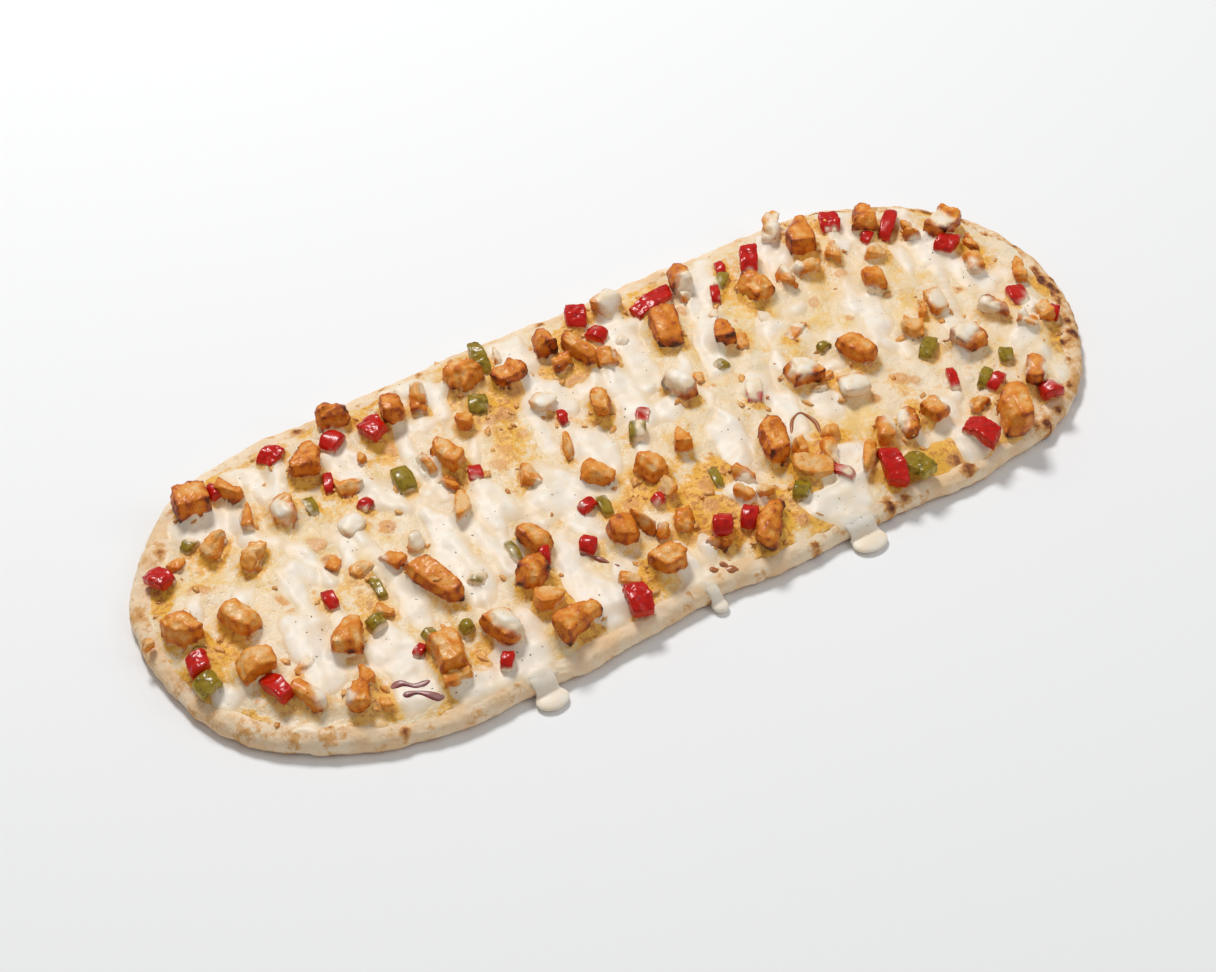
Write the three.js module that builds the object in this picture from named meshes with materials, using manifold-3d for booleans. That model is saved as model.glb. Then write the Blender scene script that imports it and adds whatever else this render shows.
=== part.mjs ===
// Chicken flatbread: an oblong thin bread with melted cheese, thick white sauce,
// roast chicken pieces and diced peppers. Millimetres, +Z up, long axis along X.
// The origin is the middle of the flat underside.

import * as THREE from 'three';
import { mergeVertices } from 'three/addons/utils/BufferGeometryUtils.js';
import Module from 'manifold-3d';

const wasm = await Module();
wasm.setup();

// The bread: two straight sides and two round ends.
const STRAIGHT_HALF = 120;
const END_RADIUS = 82;
const PERIMETER = 4 * STRAIGHT_HALF + 2 * Math.PI * END_RADIUS;
const STATIONS = 84;

// The crust's section, heights above the table and insets from the outermost line.
const RIM_HEIGHT = 8.4;
const RIM_INSET = 6;
const SHOULDER = { inset: 2.4, height: 7.4 };
const CHEEK = { inset: 0.6, height: 5.6 };
const EQUATOR_HEIGHT = 3.3;
const HEEL = { inset: 0.9, height: 1.1 };
const SOLE_INSET = 3;
const SLOPE = { inset: 10, height: 7.7 };
const BED_HEIGHT = 6.2;
const BED_INSET = 14;
const RIM_PUFF = 0.7;
const SIDE_PUFF = 0.7;

// Where the outline swells or draws in: [x, y, by how much, over what length].
const SWELLINGS = [
  [192, 40, 4, 22],
  [172, 62, 2.5, 14],
  [201, 14, 2, 14],
  [187, -47, -1, 16],
  [100, -82, 3, 14],
  [-16, -82, -2, 22],
  [-72, -82, 1, 15],
  [-190, -38, 1.3, 25],
  [-140, -80, -0.9, 15],
  [-182, 54, -1.5, 20],
  [-32, 82, 2.4, 16],
  [123, 82, -2.2, 16],
];

// The melted cheese, a sheet that thins out on the rim.
const CHEESE_HEIGHT = 10.2;
const CHEESE_EDGE = { inset: 7.2, height: 8.5 };
const CHEESE_LIP = { inset: 9.2, height: 9.6 };
const CHEESE_LEVEL_INSET = 14;
const CHEESE_WANDER = 1.8;

// Toppings rest this high, in pockets of the cheese, and touching pieces keep a gap.
const SEAT_HEIGHT = 8.8;
const POCKET_SIDES = 8;
const GAP = 0.3;
const ROOM_GAP = GAP + 0.05;

// Knife cuts of the roast chicken: how round the block is, how far it narrows to one end,
// and how many flat knife faces it has.
const CUTS = {
  cube: { round: 0.36, taper: 0.1, faces: 3 },
  wedge: { round: 0.42, taper: 0.55, faces: 2 },
  lump: { round: 0.75, taper: 0.2, faces: 4 },
};
const CUT_DEPTH = 0.8;
const WAVE_ACROSS = 0.09;
const WAVE_UP = 0.07;
const CHICKEN_GRAIN = [3, 2, 2];
const SUNK_CHICKEN_GRAIN = [2, 1, 1];
const PEPPER_GRAIN = [4, 2, 1];
const SUNK_PEPPER_GRAIN = [2, 1, 1];

// Thick white sauce, squeezed on in strokes: from, to, width, sideways bow.
const SAUCE_RISE = 1.3;
const SAUCE_SIDES = 6;
const SAUCE_STEPS = 6;
const SAUCE_STROKES = [
  { from: [-138, 70], to: [-132, 49], width: 9, bow: 4 },
  { from: [-147, 33], to: [-131, -2], width: 8, bow: 6 },
  { from: [-166, 48], to: [-146, 43], width: 15, bow: 0 },
  { from: [-146, 14], to: [-145, -16], width: 10, bow: 1 },
  { from: [-153, -12], to: [-155, -44], width: 14, bow: 2 },
  { from: [-127, -33], to: [-132, -67], width: 14, bow: 1 },
  { from: [-112, 12], to: [-113, -38], width: 11, bow: 2 },
  { from: [-100, 53], to: [-87, 10], width: 12, bow: -2 },
  { from: [-85, 8], to: [-90, -44], width: 12, bow: 2 },
  { from: [-62, 76], to: [-52, 50], width: 10, bow: 6 },
  { from: [-71, 48], to: [-74, 12], width: 9, bow: -2 },
  { from: [-65, 2], to: [-74, -34], width: 9, bow: 2 },
  { from: [-51, -30], to: [-55, -73], width: 12, bow: -1 },
  { from: [-42, 0], to: [-37, -36], width: 11, bow: 1 },
  { from: [-13, 76], to: [-11, 28], width: 13, bow: -2 },
  { from: [-14, 14], to: [-12, -8], width: 11, bow: 0 },
  { from: [30, 62], to: [24, 22], width: 13, bow: 2 },
  { from: [14, 34], to: [12, 6], width: 11, bow: -1 },
  { from: [38, -4], to: [26, -36], width: 14, bow: 1 },
  { from: [82, 74], to: [50, 14], width: 11, bow: -2 },
  { from: [112, 72], to: [104, 52], width: 10, bow: 1 },
  { from: [128, 18], to: [108, -12], width: 11, bow: 2 },
  { from: [153, 70], to: [138, 46], width: 9, bow: -1 },
  { from: [174, 58], to: [136, -32], width: 10, bow: 5 },
  { from: [168, 14], to: [173, -6], width: 12, bow: 0 },
  { from: [60, -4], to: [57, -28], width: 10, bow: 1 },
  { from: [72, -46], to: [50, -80], width: 15, bow: -3 },
  { from: [107, -62], to: [107, -80], width: 10, bow: 1 },
];

// Sauce that runs over the near side of the rim into a drop at its foot: where it leaves
// the cheese, how far it slants, its width, and the drop's width and reach past the rim.
const DRIPS = [
  { x: -93, slant: 3, width: 13, drop: 13, reach: 8 },
  { x: -21, slant: 5, width: 7, drop: 6.5, reach: 5 },
  { x: 45, slant: 4, width: 17, drop: 15, reach: 9 },
];
const DRIP_RISE = 1.6;
const DRIP_STEPS = 8;
const DRIP_SIDES = 8;
const DROP_HEIGHT = 1.6;
const DROP_CLEARANCE = 0.15;

const COLOURS = {
  crust: 0xe9cfa0,
  cheese: 0xf6ecd2,
  chicken: 0xc9823a,
  red_pepper: 0xc51f1c,
  green_pepper: 0x7c7d2c,
};

// Pieces that stand free, each [x, y, length, width, height, turn, cut]: the middle of the
// piece, its size, its turn in degrees about +Z, and the cut, one of CUTS.
const CHICKEN = [
  [-187, 2.5, 15, 11, 11, 105, 'cube'],
  [-173, -26, 15, 12, 11, -8, 'cube'],
  [-167.5, -3.5, 18, 12, 11, -65, 'lump'],
  [-156.5, 57.5, 14, 13, 12, -12, 'cube'],
  [-150, -57.5, 14, 9, 9, 65, 'lump'],
  [-140.5, -32.5, 17, 12, 11, 60, 'wedge'],
  [-130, 36.5, 17, 10, 9, 78, 'lump'],
  [-114.5, -58, 17, 13, 12, 86, 'cube'],
  [-112, 54.5, 18, 12, 11, 62, 'wedge'],
  [-101, -26.5, 28, 12, 11, -78, 'lump'],
  [-92.5, -57.5, 19, 12, 11, -75, 'lump'],
  [-90.5, 70, 14, 10, 11, -20, 'lump'],
  [-70.5, 60.5, 14, 10, 12, 75, 'lump'],
  [-69.5, -41.5, 17, 12, 11, 40, 'lump'],
  [-68, -70, 22, 12, 11, 12, 'wedge'],
  [-64.5, 26.5, 15, 10, 11, -60, 'cube'],
  [-60.5, -27, 17, 10, 10, -78, 'lump'],
  [-37, 61.5, 16, 14, 12, 20, 'lump'],
  [-31, -41.5, 15, 13, 11, 60, 'lump'],
  [-25.5, -63.5, 15, 13, 11, 20, 'lump'],
  [-21.5, 54, 15, 11, 9, 25, 'cube'],
  [-4.5, -20.5, 15, 11, 11, -80, 'lump'],
  [-1.5, 61.5, 13, 9, 12, 80, 'wedge'],
  [9, 50.5, 21, 9, 11, -80, 'lump'],
  [17, -68.5, 27, 10, 9, 42, 'lump'],
  [30.5, 11.5, 17, 12, 11, -70, 'lump'],
  [42.5, -33, 23, 12, 12, 74, 'lump'],
  [45.5, 42.5, 22, 13, 11, 70, 'cube'],
  [62, 28, 15, 9, 10, 58, 'wedge'],
  [65.5, 64, 15, 10, 11, 75, 'lump'],
  [75, -9, 15, 12, 10, -10, 'cube'],
  [89, 44, 16, 13, 10, -80, 'cube'],
  [91.5, -54, 17, 9, 10, 60, 'lump'],
  [100.5, -9, 19, 12, 10, -78, 'lump'],
  [103.5, -54, 11, 9, 10, -80, 'cube'],
  [122, 59, 20, 12, 12, 70, 'cube'],
  [130, -70.5, 22, 14, 12, 72, 'cube'],
  [141.5, -28, 14, 12, 10, 0, 'cube'],
  [150.5, -57, 17, 9, 10, 55, 'lump'],
  [151.5, 54.5, 17, 11, 11, 58, 'wedge'],
  [162, -19, 16, 8, 9, -72, 'lump'],
  [178.5, 34, 17, 12, 10, 25, 'cube'],
];

// The same for diced pepper, with a tilt in degrees, end up, in place of the cut.
const RED_PEPPER = [
  [-189, -14, 9, 9, 7, -5, 8],
  [-182.5, 31, 11, 8, 5, -70, 12],
  [-171.5, -38.5, 15, 7, 6, -80, 14],
  [-119.5, 65.5, 10, 8, 5, 30, 10],
  [-80.5, 57, 12, 10, 6, -70, 14],
  [-44.5, -72, 13, 9, 6, 75, 14],
  [19.5, 69, 11, 9, 6, 60, 14],
  [51, 60.5, 22, 8, 6, 12, 0],
  [72.5, -68.5, 18, 9, 7, 65, 8],
  [97.5, 59.5, 15, 8, 7, 62, 12],
  [112.5, -72, 16, 10, 7, -70, 8],
  [140, 61, 12, 9, 6, 60, 10],
  [172.5, 23.5, 11, 9, 7, 35, 10],
];
const GREEN_PEPPER = [
  [-190.5, -23.5, 10, 8, 6, 8, 8],
  [-26.5, 67.5, 16, 6, 7, 78, 10],
  [81, -72.5, 14, 9, 6, -75, 8],
];

// Smaller pieces, half sunk in the cheese and one with it.
const SUNK_CHICKEN = [
  [-164, -47, 15, 7, 8, -70, 'lump'],
  [-158.5, 34, 14, 8, 8, 35, 'wedge'],
  [-149.5, 21, 13, 8, 8, 50, 'lump'],
  [-143.5, -49.5, 10, 6, 7, 70, 'lump'],
  [-142.5, 41.5, 15, 5, 7, 68, 'lump'],
  [-142, 56, 12, 7, 8, -68, 'lump'],
  [-117, -67.5, 12, 7, 7, -5, 'lump'],
  [-107.5, -7.5, 9, 8, 7, 10, 'lump'],
  [-102, 35.5, 12, 9, 6, 20, 'lump'],
  [-73.5, 3.5, 15, 7, 7, 68, 'wedge'],
  [-73, 29.5, 12, 4, 7, -85, 'lump'],
  [-71, -54, 12, 9, 8, -10, 'lump'],
  [-58, 61.5, 14, 7, 9, 68, 'lump'],
  [-49, 40.5, 10, 8, 8, 40, 'lump'],
  [-44, 3.5, 11, 9, 6, 60, 'lump'],
  [-22.5, -10.5, 14, 10, 8, -60, 'lump'],
  [-21.5, -40.5, 14, 6, 9, -82, 'lump'],
  [-18.5, -49, 7, 6, 7, 70, 'lump'],
  [-18, 34.5, 11, 10, 6, 30, 'lump'],
  [-9, -48, 13, 7, 8, 60, 'lump'],
  [-5, -32, 10, 6, 8, 65, 'lump'],
  [-2, -63.5, 11, 9, 7, 30, 'lump'],
  [-0.5, 20.5, 14, 8, 8, 70, 'lump'],
  [14.5, -12.5, 14, 7, 9, 65, 'wedge'],
  [17, 42, 13, 9, 8, 40, 'lump'],
  [18, -49, 8, 6, 7, -70, 'lump'],
  [23.5, -40.5, 11, 6, 7, -65, 'lump'],
  [25.5, -51.5, 7, 7, 7, 0, 'lump'],
  [33, 67.5, 12, 9, 9, 20, 'cube'],
  [47, -52.5, 16, 11, 9, -25, 'lump'],
  [50.5, -40, 12, 6, 8, 65, 'lump'],
  [58.5, -49.5, 15, 6, 7, 70, 'lump'],
  [65, -40.5, 9, 7, 7, 0, 'lump'],
  [68, -60, 16, 6, 8, 55, 'lump'],
  [81.5, -51.5, 15, 8, 9, 65, 'lump'],
  [87, -25, 12, 10, 8, -10, 'cube'],
  [104, 42, 12, 6, 8, 80, 'lump'],
  [115, 43, 12, 10, 8, 20, 'lump'],
  [117, 70.5, 18, 7, 9, 52, 'lump'],
  [128.5, -10.5, 10, 9, 7, 50, 'cube'],
  [129.5, 43.5, 11, 7, 7, 45, 'lump'],
  [132.5, 21.5, 14, 9, 9, 70, 'lump'],
  [144.5, 35.5, 10, 8, 7, 30, 'lump'],
  [145, -3, 11, 8, 8, 80, 'cube'],
  [165, 39.5, 11, 7, 8, 70, 'lump'],
  [168.5, -32, 9, 7, 7, -60, 'lump'],
  [174.5, 10, 16, 8, 8, 68, 'lump'],
  [178.5, -30.5, 11, 7, 7, 65, 'lump'],
  [186.5, -5.5, 14, 6, 7, 62, 'lump'],
];
const SUNK_PEPPER = [
  [-146.5, 58.5, 6, 6, 7, 0, 0],
  [-60.5, -34.5, 9, 4, 7, 68, 5],
  [0, -60, 9, 8, 10, 60, 12],
];

// ---------- helpers ----------

// A small seeded generator, so that every build is the same.
function seeded(seed) {
  let state = seed;
  return () => {
    state = (state + 0x6d2b79f5) | 0;
    let mixed = Math.imul(state ^ (state >>> 15), 1 | state);
    mixed = (mixed + Math.imul(mixed ^ (mixed >>> 7), 61 | mixed)) ^ mixed;
    return ((mixed ^ (mixed >>> 14)) >>> 0) / 4294967296;
  };
}

// A smooth wander round the outline, made of a few waves, between about -1 and 1.
function wanderer(random, waves) {
  const phases = waves.map(() => random() * 2 * Math.PI);
  return (travel) => waves.reduce(
    (sum, wave, i) => sum + Math.sin((travel / PERIMETER) * 2 * Math.PI * wave + phases[i]),
    0,
  ) / Math.sqrt(2 * waves.length);
}

// Six times the volume inside a triangle list, below zero if its faces point inwards.
function signedVolume(points, triangles) {
  const corner = (i) => new THREE.Vector3().fromArray(points, 3 * i);
  let sum = 0;
  for (let i = 0; i < triangles.length; i += 3) {
    const [a, b, c] = [0, 1, 2].map((k) => corner(triangles[i + k]));
    sum += a.dot(b.cross(c));
  }
  return sum;
}

// A closed three.js geometry as a solid that can be joined and cut.
function toSolid(geometry) {
  geometry.deleteAttribute('normal');
  geometry.deleteAttribute('uv');
  const merged = mergeVertices(geometry, 1e-4);
  const points = merged.getAttribute('position').array;
  const index = merged.getIndex().array;
  const triangles = [];
  for (let i = 0; i < index.length; i += 3) {
    const [a, b, c] = index.slice(i, i + 3);
    if (a !== b && b !== c && c !== a) triangles.push(a, b, c);
  }
  if (signedVolume(points, triangles) < 0) triangles.reverse();
  return new wasm.Manifold(new wasm.Mesh({
    numProp: 3,
    vertProperties: Float32Array.from(points),
    triVerts: Uint32Array.from(triangles),
  }));
}

function toGeometry(solid) {
  const mesh = solid.getMesh();
  const geometry = new THREE.BufferGeometry();
  const points = new Float32Array(3 * (mesh.vertProperties.length / mesh.numProp));
  for (let i = 0; i < points.length / 3; i += 1) {
    for (let k = 0; k < 3; k += 1) points[3 * i + k] = mesh.vertProperties[mesh.numProp * i + k];
  }
  geometry.setAttribute('position', new THREE.BufferAttribute(points, 3));
  geometry.setIndex(Array.from(mesh.triVerts));
  geometry.computeVertexNormals();
  return geometry;
}

// Moves every vertex of a geometry by a rule.
function reshape(geometry, rule) {
  const position = geometry.getAttribute('position');
  const point = new THREE.Vector3();
  for (let i = 0; i < position.count; i += 1) {
    point.fromBufferAttribute(position, i);
    rule(point, i);
    position.setXYZ(i, point.x, point.y, point.z);
  }
  return geometry;
}

function boxesMeet(a, b) {
  return [0, 1, 2].every((k) => a.min[k] < b.max[k] && b.min[k] < a.max[k]);
}

// The largest body of a solid, without scraps that a cut left loose.
function largestBody(solid) {
  const bodies = solid.decompose();
  return bodies.reduce((best, body) => (body.volume() > best.volume() ? body : best));
}

// ---------- the outline ----------

// The point on the spine and the direction out of it, at a distance along the outline,
// counter-clockwise from the middle of the near side.
function outlineDirection(travel) {
  const arc = Math.PI * END_RADIUS;
  const side = 2 * STRAIGHT_HALF;
  if (travel < STRAIGHT_HALF) return { spine: travel, angle: -Math.PI / 2 };
  const past = travel - STRAIGHT_HALF;
  if (past < arc) return { spine: STRAIGHT_HALF, angle: -Math.PI / 2 + past / END_RADIUS };
  if (past < arc + side) return { spine: STRAIGHT_HALF - (past - arc), angle: Math.PI / 2 };
  const left = past - arc - side;
  if (left < arc) return { spine: -STRAIGHT_HALF, angle: Math.PI / 2 + left / END_RADIUS };
  return { spine: -STRAIGHT_HALF + (left - arc), angle: -Math.PI / 2 };
}

const sideWander = wanderer(seeded(7), [9, 14, 23]);
const rimWander = wanderer(seeded(11), [7, 13, 21, 31]);
const edgeWander = wanderer(seeded(19), [11, 17, 29, 41]);

// How far the outline stands out from the plain oblong there.
function swellingAt(x, y) {
  return SWELLINGS.reduce((sum, [atX, atY, size, reach]) => {
    const away = ((x - atX) ** 2 + (y - atY) ** 2) / reach ** 2;
    return sum + size * Math.exp(-away);
  }, 0);
}

function onOutline(travel, inset) {
  const { spine, angle } = outlineDirection(travel);
  const edgeX = spine + END_RADIUS * Math.cos(angle);
  const edgeY = END_RADIUS * Math.sin(angle);
  const swelling = swellingAt(edgeX, edgeY) + SIDE_PUFF * sideWander(travel);
  const radius = (END_RADIUS - inset) + swelling * (1 - inset / END_RADIUS);
  return { x: spine + radius * Math.cos(angle), y: radius * Math.sin(angle) };
}

// A section turned round like a round bread and then drawn out along the spine.
function oblong(section, ripple) {
  const turned = new THREE.LatheGeometry(
    section.map(({ inset, height }) => new THREE.Vector2(END_RADIUS - inset, height)),
    STATIONS,
  );
  return reshape(turned, (point, i) => {
    const station = Math.floor(i / section.length) % STATIONS;
    const travel = (station / STATIONS) * PERIMETER;
    const { inset, height } = ripple(section[i % section.length], travel);
    const place = onOutline(travel, inset);
    point.set(place.x, place.y, height);
  });
}

// ---------- the crust ----------

// The crust's section from the middle of the underside, out, up and over the rim, and
// back across the bed. Grown outward by a margin it is the room the crust takes.
function crustSection(margin) {
  return [
    { inset: END_RADIUS, height: -margin },
    { inset: SOLE_INSET - margin, height: -margin },
    { inset: HEEL.inset - margin, height: HEEL.height - margin },
    { inset: -margin, height: EQUATOR_HEIGHT },
    { inset: CHEEK.inset - margin, height: CHEEK.height + margin / 2 },
    { inset: SHOULDER.inset - margin / 2, height: SHOULDER.height + margin, puff: 0.8 },
    { inset: RIM_INSET, height: RIM_HEIGHT + margin, puff: 1 },
    { inset: SLOPE.inset + margin / 2, height: SLOPE.height + margin, puff: 0.6 },
    { inset: BED_INSET + margin / 2, height: BED_HEIGHT + margin },
    { inset: END_RADIUS, height: BED_HEIGHT + margin },
  ];
}

function crustSolid(margin) {
  return toSolid(oblong(crustSection(margin), ({ inset, height, puff = 0 }, travel) => ({
    inset,
    height: height + puff * RIM_PUFF * rimWander(travel),
  })));
}

// ---------- the toppings ----------

function randomDirection(random) {
  const height = 2 * random() - 1;
  const turn = 2 * Math.PI * random();
  const flat = Math.sqrt(1 - height * height);
  return new THREE.Vector3(flat * Math.cos(turn), flat * Math.sin(turn), height);
}

// Stretches a shape so that it measures exactly length, width and height about its middle.
function toSize(geometry, length, width, height) {
  geometry.computeBoundingBox();
  const size = geometry.boundingBox.getSize(new THREE.Vector3());
  const middle = geometry.boundingBox.getCenter(new THREE.Vector3());
  geometry.translate(-middle.x, -middle.y, -middle.z);
  return geometry.scale(length / size.x, width / size.y, height / size.z);
}

// A block of roast chicken: a rounded box with flat knife faces, narrower to one end.
function chickenShape([, , length, width, height, , cut], grain, random) {
  const { round, taper, faces } = CUTS[cut];
  const knives = Array.from({ length: faces }, () => ({
    way: randomDirection(random),
    reach: 0.7 + 0.2 * random(),
  }));
  const phase = 2 * Math.PI * random();
  const block = reshape(new THREE.BoxGeometry(2, 2, 2, ...grain), (point) => {
    point.lerp(point.clone().normalize(), round);
    for (const { way, reach } of knives) {
      const past = point.dot(way) - reach;
      if (past > 0) point.addScaledVector(way, -CUT_DEPTH * past);
    }
    const slim = 1 - taper * (point.x + 1) / 2;
    point.y = point.y * slim + WAVE_ACROSS * Math.sin(3 * point.x + phase);
    point.z = (point.z + 1) * (0.4 + 0.6 * slim) - 1 + WAVE_UP * Math.sin(4 * point.y + phase);
  });
  return toSize(block, length, width, height);
}

// A dice of pepper wall: a slab that keeps a little of the fruit's curve.
function pepperShape([, , length, width, height, , tilt], grain, random) {
  const arch = 0.35 + 0.2 * random();
  const skew = 0.3 * (random() - 0.5);
  const slab = reshape(new THREE.BoxGeometry(2, 2, 2, ...grain), (point) => {
    point.y = point.y * (1 - 0.16 * point.x * point.x) + skew * point.x;
    point.x += skew * point.y;
    point.z = 0.6 * point.z + arch * (1 - point.x * point.x);
  });
  toSize(slab, length, width, height);
  return slab.rotateY(THREE.MathUtils.degToRad(-tilt));
}

// Turns a shape, puts it down at its seat and gives its solid and the room it takes.
function putDown([x, y, , , , turn], shape) {
  shape.rotateZ(THREE.MathUtils.degToRad(turn));
  shape.computeBoundingBox();
  const size = shape.boundingBox.getSize(new THREE.Vector3());
  const middle = shape.boundingBox.getCenter(new THREE.Vector3());
  const seat = [x - middle.x, y - middle.y, SEAT_HEIGHT - shape.boundingBox.min.z];
  const grown = shape.clone()
    .translate(-middle.x, -middle.y, -middle.z)
    .scale(...size.toArray().map((extent) => 1 + (2 * ROOM_GAP) / extent))
    .translate(middle.x, middle.y, middle.z)
    .translate(...seat);
  shape.translate(...seat);
  return { solid: toSolid(shape), room: toSolid(grown) };
}

// ---------- the sauce ----------

// A rounded bead along a path, full for most of its length and closed at both ends. Side
// gives the direction of its width.
function bead(path, side, width, rise, sides, steps) {
  const ball = new THREE.SphereGeometry(1, sides, steps);
  return reshape(ball, (point, i) => {
    const share = Math.floor(i / (sides + 1)) / steps;
    const ring = Math.hypot(point.x, point.z);
    const fullness = Math.sqrt(1 - Math.abs(2 * share - 1) ** 4);
    const across = ring > 0 ? (point.x / ring) * fullness * width / 2 : 0;
    const up = ring > 0 ? (point.z / ring) * fullness * rise : 0;
    const lift = new THREE.Vector3().crossVectors(side, path.getTangent(share)).normalize();
    point.copy(path.getPoint(share)).addScaledVector(side, across).addScaledVector(lift, up);
  });
}

function strokeSolid({ from, to, width, bow }) {
  const start = new THREE.Vector3(...from, CHEESE_HEIGHT);
  const end = new THREE.Vector3(...to, CHEESE_HEIGHT);
  const side = new THREE.Vector3(from[1] - to[1], to[0] - from[0], 0).normalize();
  const middle = start.clone().lerp(end, 0.5).addScaledVector(side, 2 * bow);
  const path = new THREE.QuadraticBezierCurve3(start, middle, end);
  return toSolid(bead(path, side, width, SAUCE_RISE, SAUCE_SIDES, SAUCE_STEPS));
}

// A run of sauce over the near side of the rim, with the drop that it ends in.
function dripSolid({ x, slant, width, drop, reach }) {
  const near = -END_RADIUS - swellingAt(x, -END_RADIUS);
  const path = new THREE.CatmullRomCurve3([
    new THREE.Vector3(x, near + BED_INSET, CHEESE_HEIGHT - 0.3),
    new THREE.Vector3(x + 0.4 * slant, near + RIM_INSET, RIM_HEIGHT + 0.2),
    new THREE.Vector3(x + 0.8 * slant, near + CHEEK.inset - 0.5, CHEEK.height),
    new THREE.Vector3(x + slant, near - 1.4, 2 * DROP_HEIGHT),
    new THREE.Vector3(x + slant, near - 2.5, DROP_HEIGHT),
  ]);
  const side = new THREE.Vector3(1, 0, 0);
  const run = toSolid(bead(path, side, width, DRIP_RISE, DRIP_SIDES, DRIP_STEPS));
  const pool = new THREE.SphereGeometry(1, 12, 6)
    .rotateX(Math.PI / 2)
    .scale(drop / 2, reach / 2 + 1, DROP_HEIGHT)
    .translate(x + slant, near - reach / 2, DROP_HEIGHT + DROP_CLEARANCE);
  return run.add(toSolid(pool));
}

// ---------- the cheese ----------

function cheeseSheet() {
  const foot = BED_HEIGHT - 1;
  const section = [
    { inset: END_RADIUS, height: foot },
    { inset: CHEESE_EDGE.inset + 1, height: foot, edge: 1 },
    { ...CHEESE_EDGE, edge: 1 },
    { ...CHEESE_LIP, edge: 1 },
    { inset: CHEESE_LEVEL_INSET, height: CHEESE_HEIGHT },
    { inset: END_RADIUS, height: CHEESE_HEIGHT },
  ];
  return toSolid(oblong(section, ({ inset, height, edge = 0 }, travel) => ({
    inset: inset + edge * CHEESE_WANDER * edgeWander(travel),
    height,
  })));
}

// The pocket that a topping leaves in the cheese: an upright prism that clears the
// part of the topping's room up to the top of the sauce.
function pocketSolid(room) {
  const floor = room.boundingBox().min[2];
  const foot = room.trimByPlane([0, 0, -1], -(CHEESE_HEIGHT + SAUCE_RISE));
  const { vertProperties, numProp } = foot.getMesh();
  const ways = Array.from({ length: POCKET_SIDES }, (_, i) => {
    const angle = (2 * Math.PI * i) / POCKET_SIDES;
    return { x: Math.cos(angle), y: Math.sin(angle), reach: -Infinity };
  });
  for (let i = 0; i < vertProperties.length; i += numProp) {
    for (const way of ways) {
      way.reach = Math.max(way.reach, vertProperties[i] * way.x + vertProperties[i + 1] * way.y);
    }
  }
  const corners = ways.map((way, i) => {
    const next = ways[(i + 1) % POCKET_SIDES];
    const cross = way.x * next.y - way.y * next.x;
    return new THREE.Vector2(
      (way.reach * next.y - next.reach * way.y) / cross,
      (next.reach * way.x - way.reach * next.x) / cross,
    );
  });
  const prism = new THREE.ExtrudeGeometry(new THREE.Shape(corners), {
    depth: RIM_HEIGHT,
    bevelEnabled: false,
  });
  return toSolid(prism.translate(0, 0, floor));
}

// ---------- the flatbread ----------

const group = new THREE.Group();

function addNode(name, kind, solid) {
  const material = new THREE.MeshStandardMaterial({
    color: COLOURS[kind],
    roughness: kind === 'crust' ? 0.8 : 0.45,
    metalness: 0,
  });
  const mesh = new THREE.Mesh(toGeometry(solid), material);
  mesh.name = name;
  group.add(mesh);
}

const crustRoom = crustSolid(ROOM_GAP);
addNode('crust', 'crust', crustSolid(0));

// Each piece is trimmed by the crust's rim and by the pieces it leans on.
const settled = [];

function clearOfToppings(solid) {
  const box = solid.boundingBox();
  const neighbours = settled.filter(({ room }) => boxesMeet(box, room.boundingBox()));
  return neighbours.reduce((rest, { room }) => rest.subtract(room), solid);
}

function settle(kind, rows, shapeOf, grain, seed) {
  const random = seeded(seed);
  rows.forEach((row, i) => {
    const { solid, room } = putDown(row, shapeOf(row, grain, random));
    const trimmed = largestBody(clearOfToppings(solid).subtract(crustRoom));
    const number = String(i + 1).padStart(2, '0');
    settled.push({ name: `${kind}_${number}`, kind, room, solid: trimmed });
  });
}

settle('chicken', CHICKEN, chickenShape, CHICKEN_GRAIN, 101);
settle('red_pepper', RED_PEPPER, pepperShape, PEPPER_GRAIN, 202);
settle('green_pepper', GREEN_PEPPER, pepperShape, PEPPER_GRAIN, 303);

function sunk(rows, shapeOf, grain, seed) {
  const random = seeded(seed);
  return rows.map((row) => clearOfToppings(putDown(row, shapeOf(row, grain, random)).solid));
}

const onCheese = [
  cheeseSheet(),
  ...SAUCE_STROKES.map(strokeSolid),
  ...DRIPS.map(dripSolid),
  ...sunk(SUNK_CHICKEN, chickenShape, SUNK_CHICKEN_GRAIN, 404),
  ...sunk(SUNK_PEPPER, pepperShape, SUNK_PEPPER_GRAIN, 505),
];
const pockets = settled.map(({ room }) => pocketSolid(room));
const cheese = wasm.Manifold.union(onCheese).subtract(wasm.Manifold.union([crustRoom, ...pockets]));
addNode('cheese', 'cheese', largestBody(cheese));
settled.forEach(({ name, kind, solid }) => addNode(name, kind, solid));

export default group;
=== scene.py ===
"""Chicken flatbread: the baked crust, melted cheese, white sauce, roast chicken and diced peppers.

Shapes are worked out in millimetres in the bread's own frame and written as metres.
"""

import math

import bmesh
import bpy
import numpy as np
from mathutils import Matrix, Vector, noise
from mathutils.bvhtree import BVHTree


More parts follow.
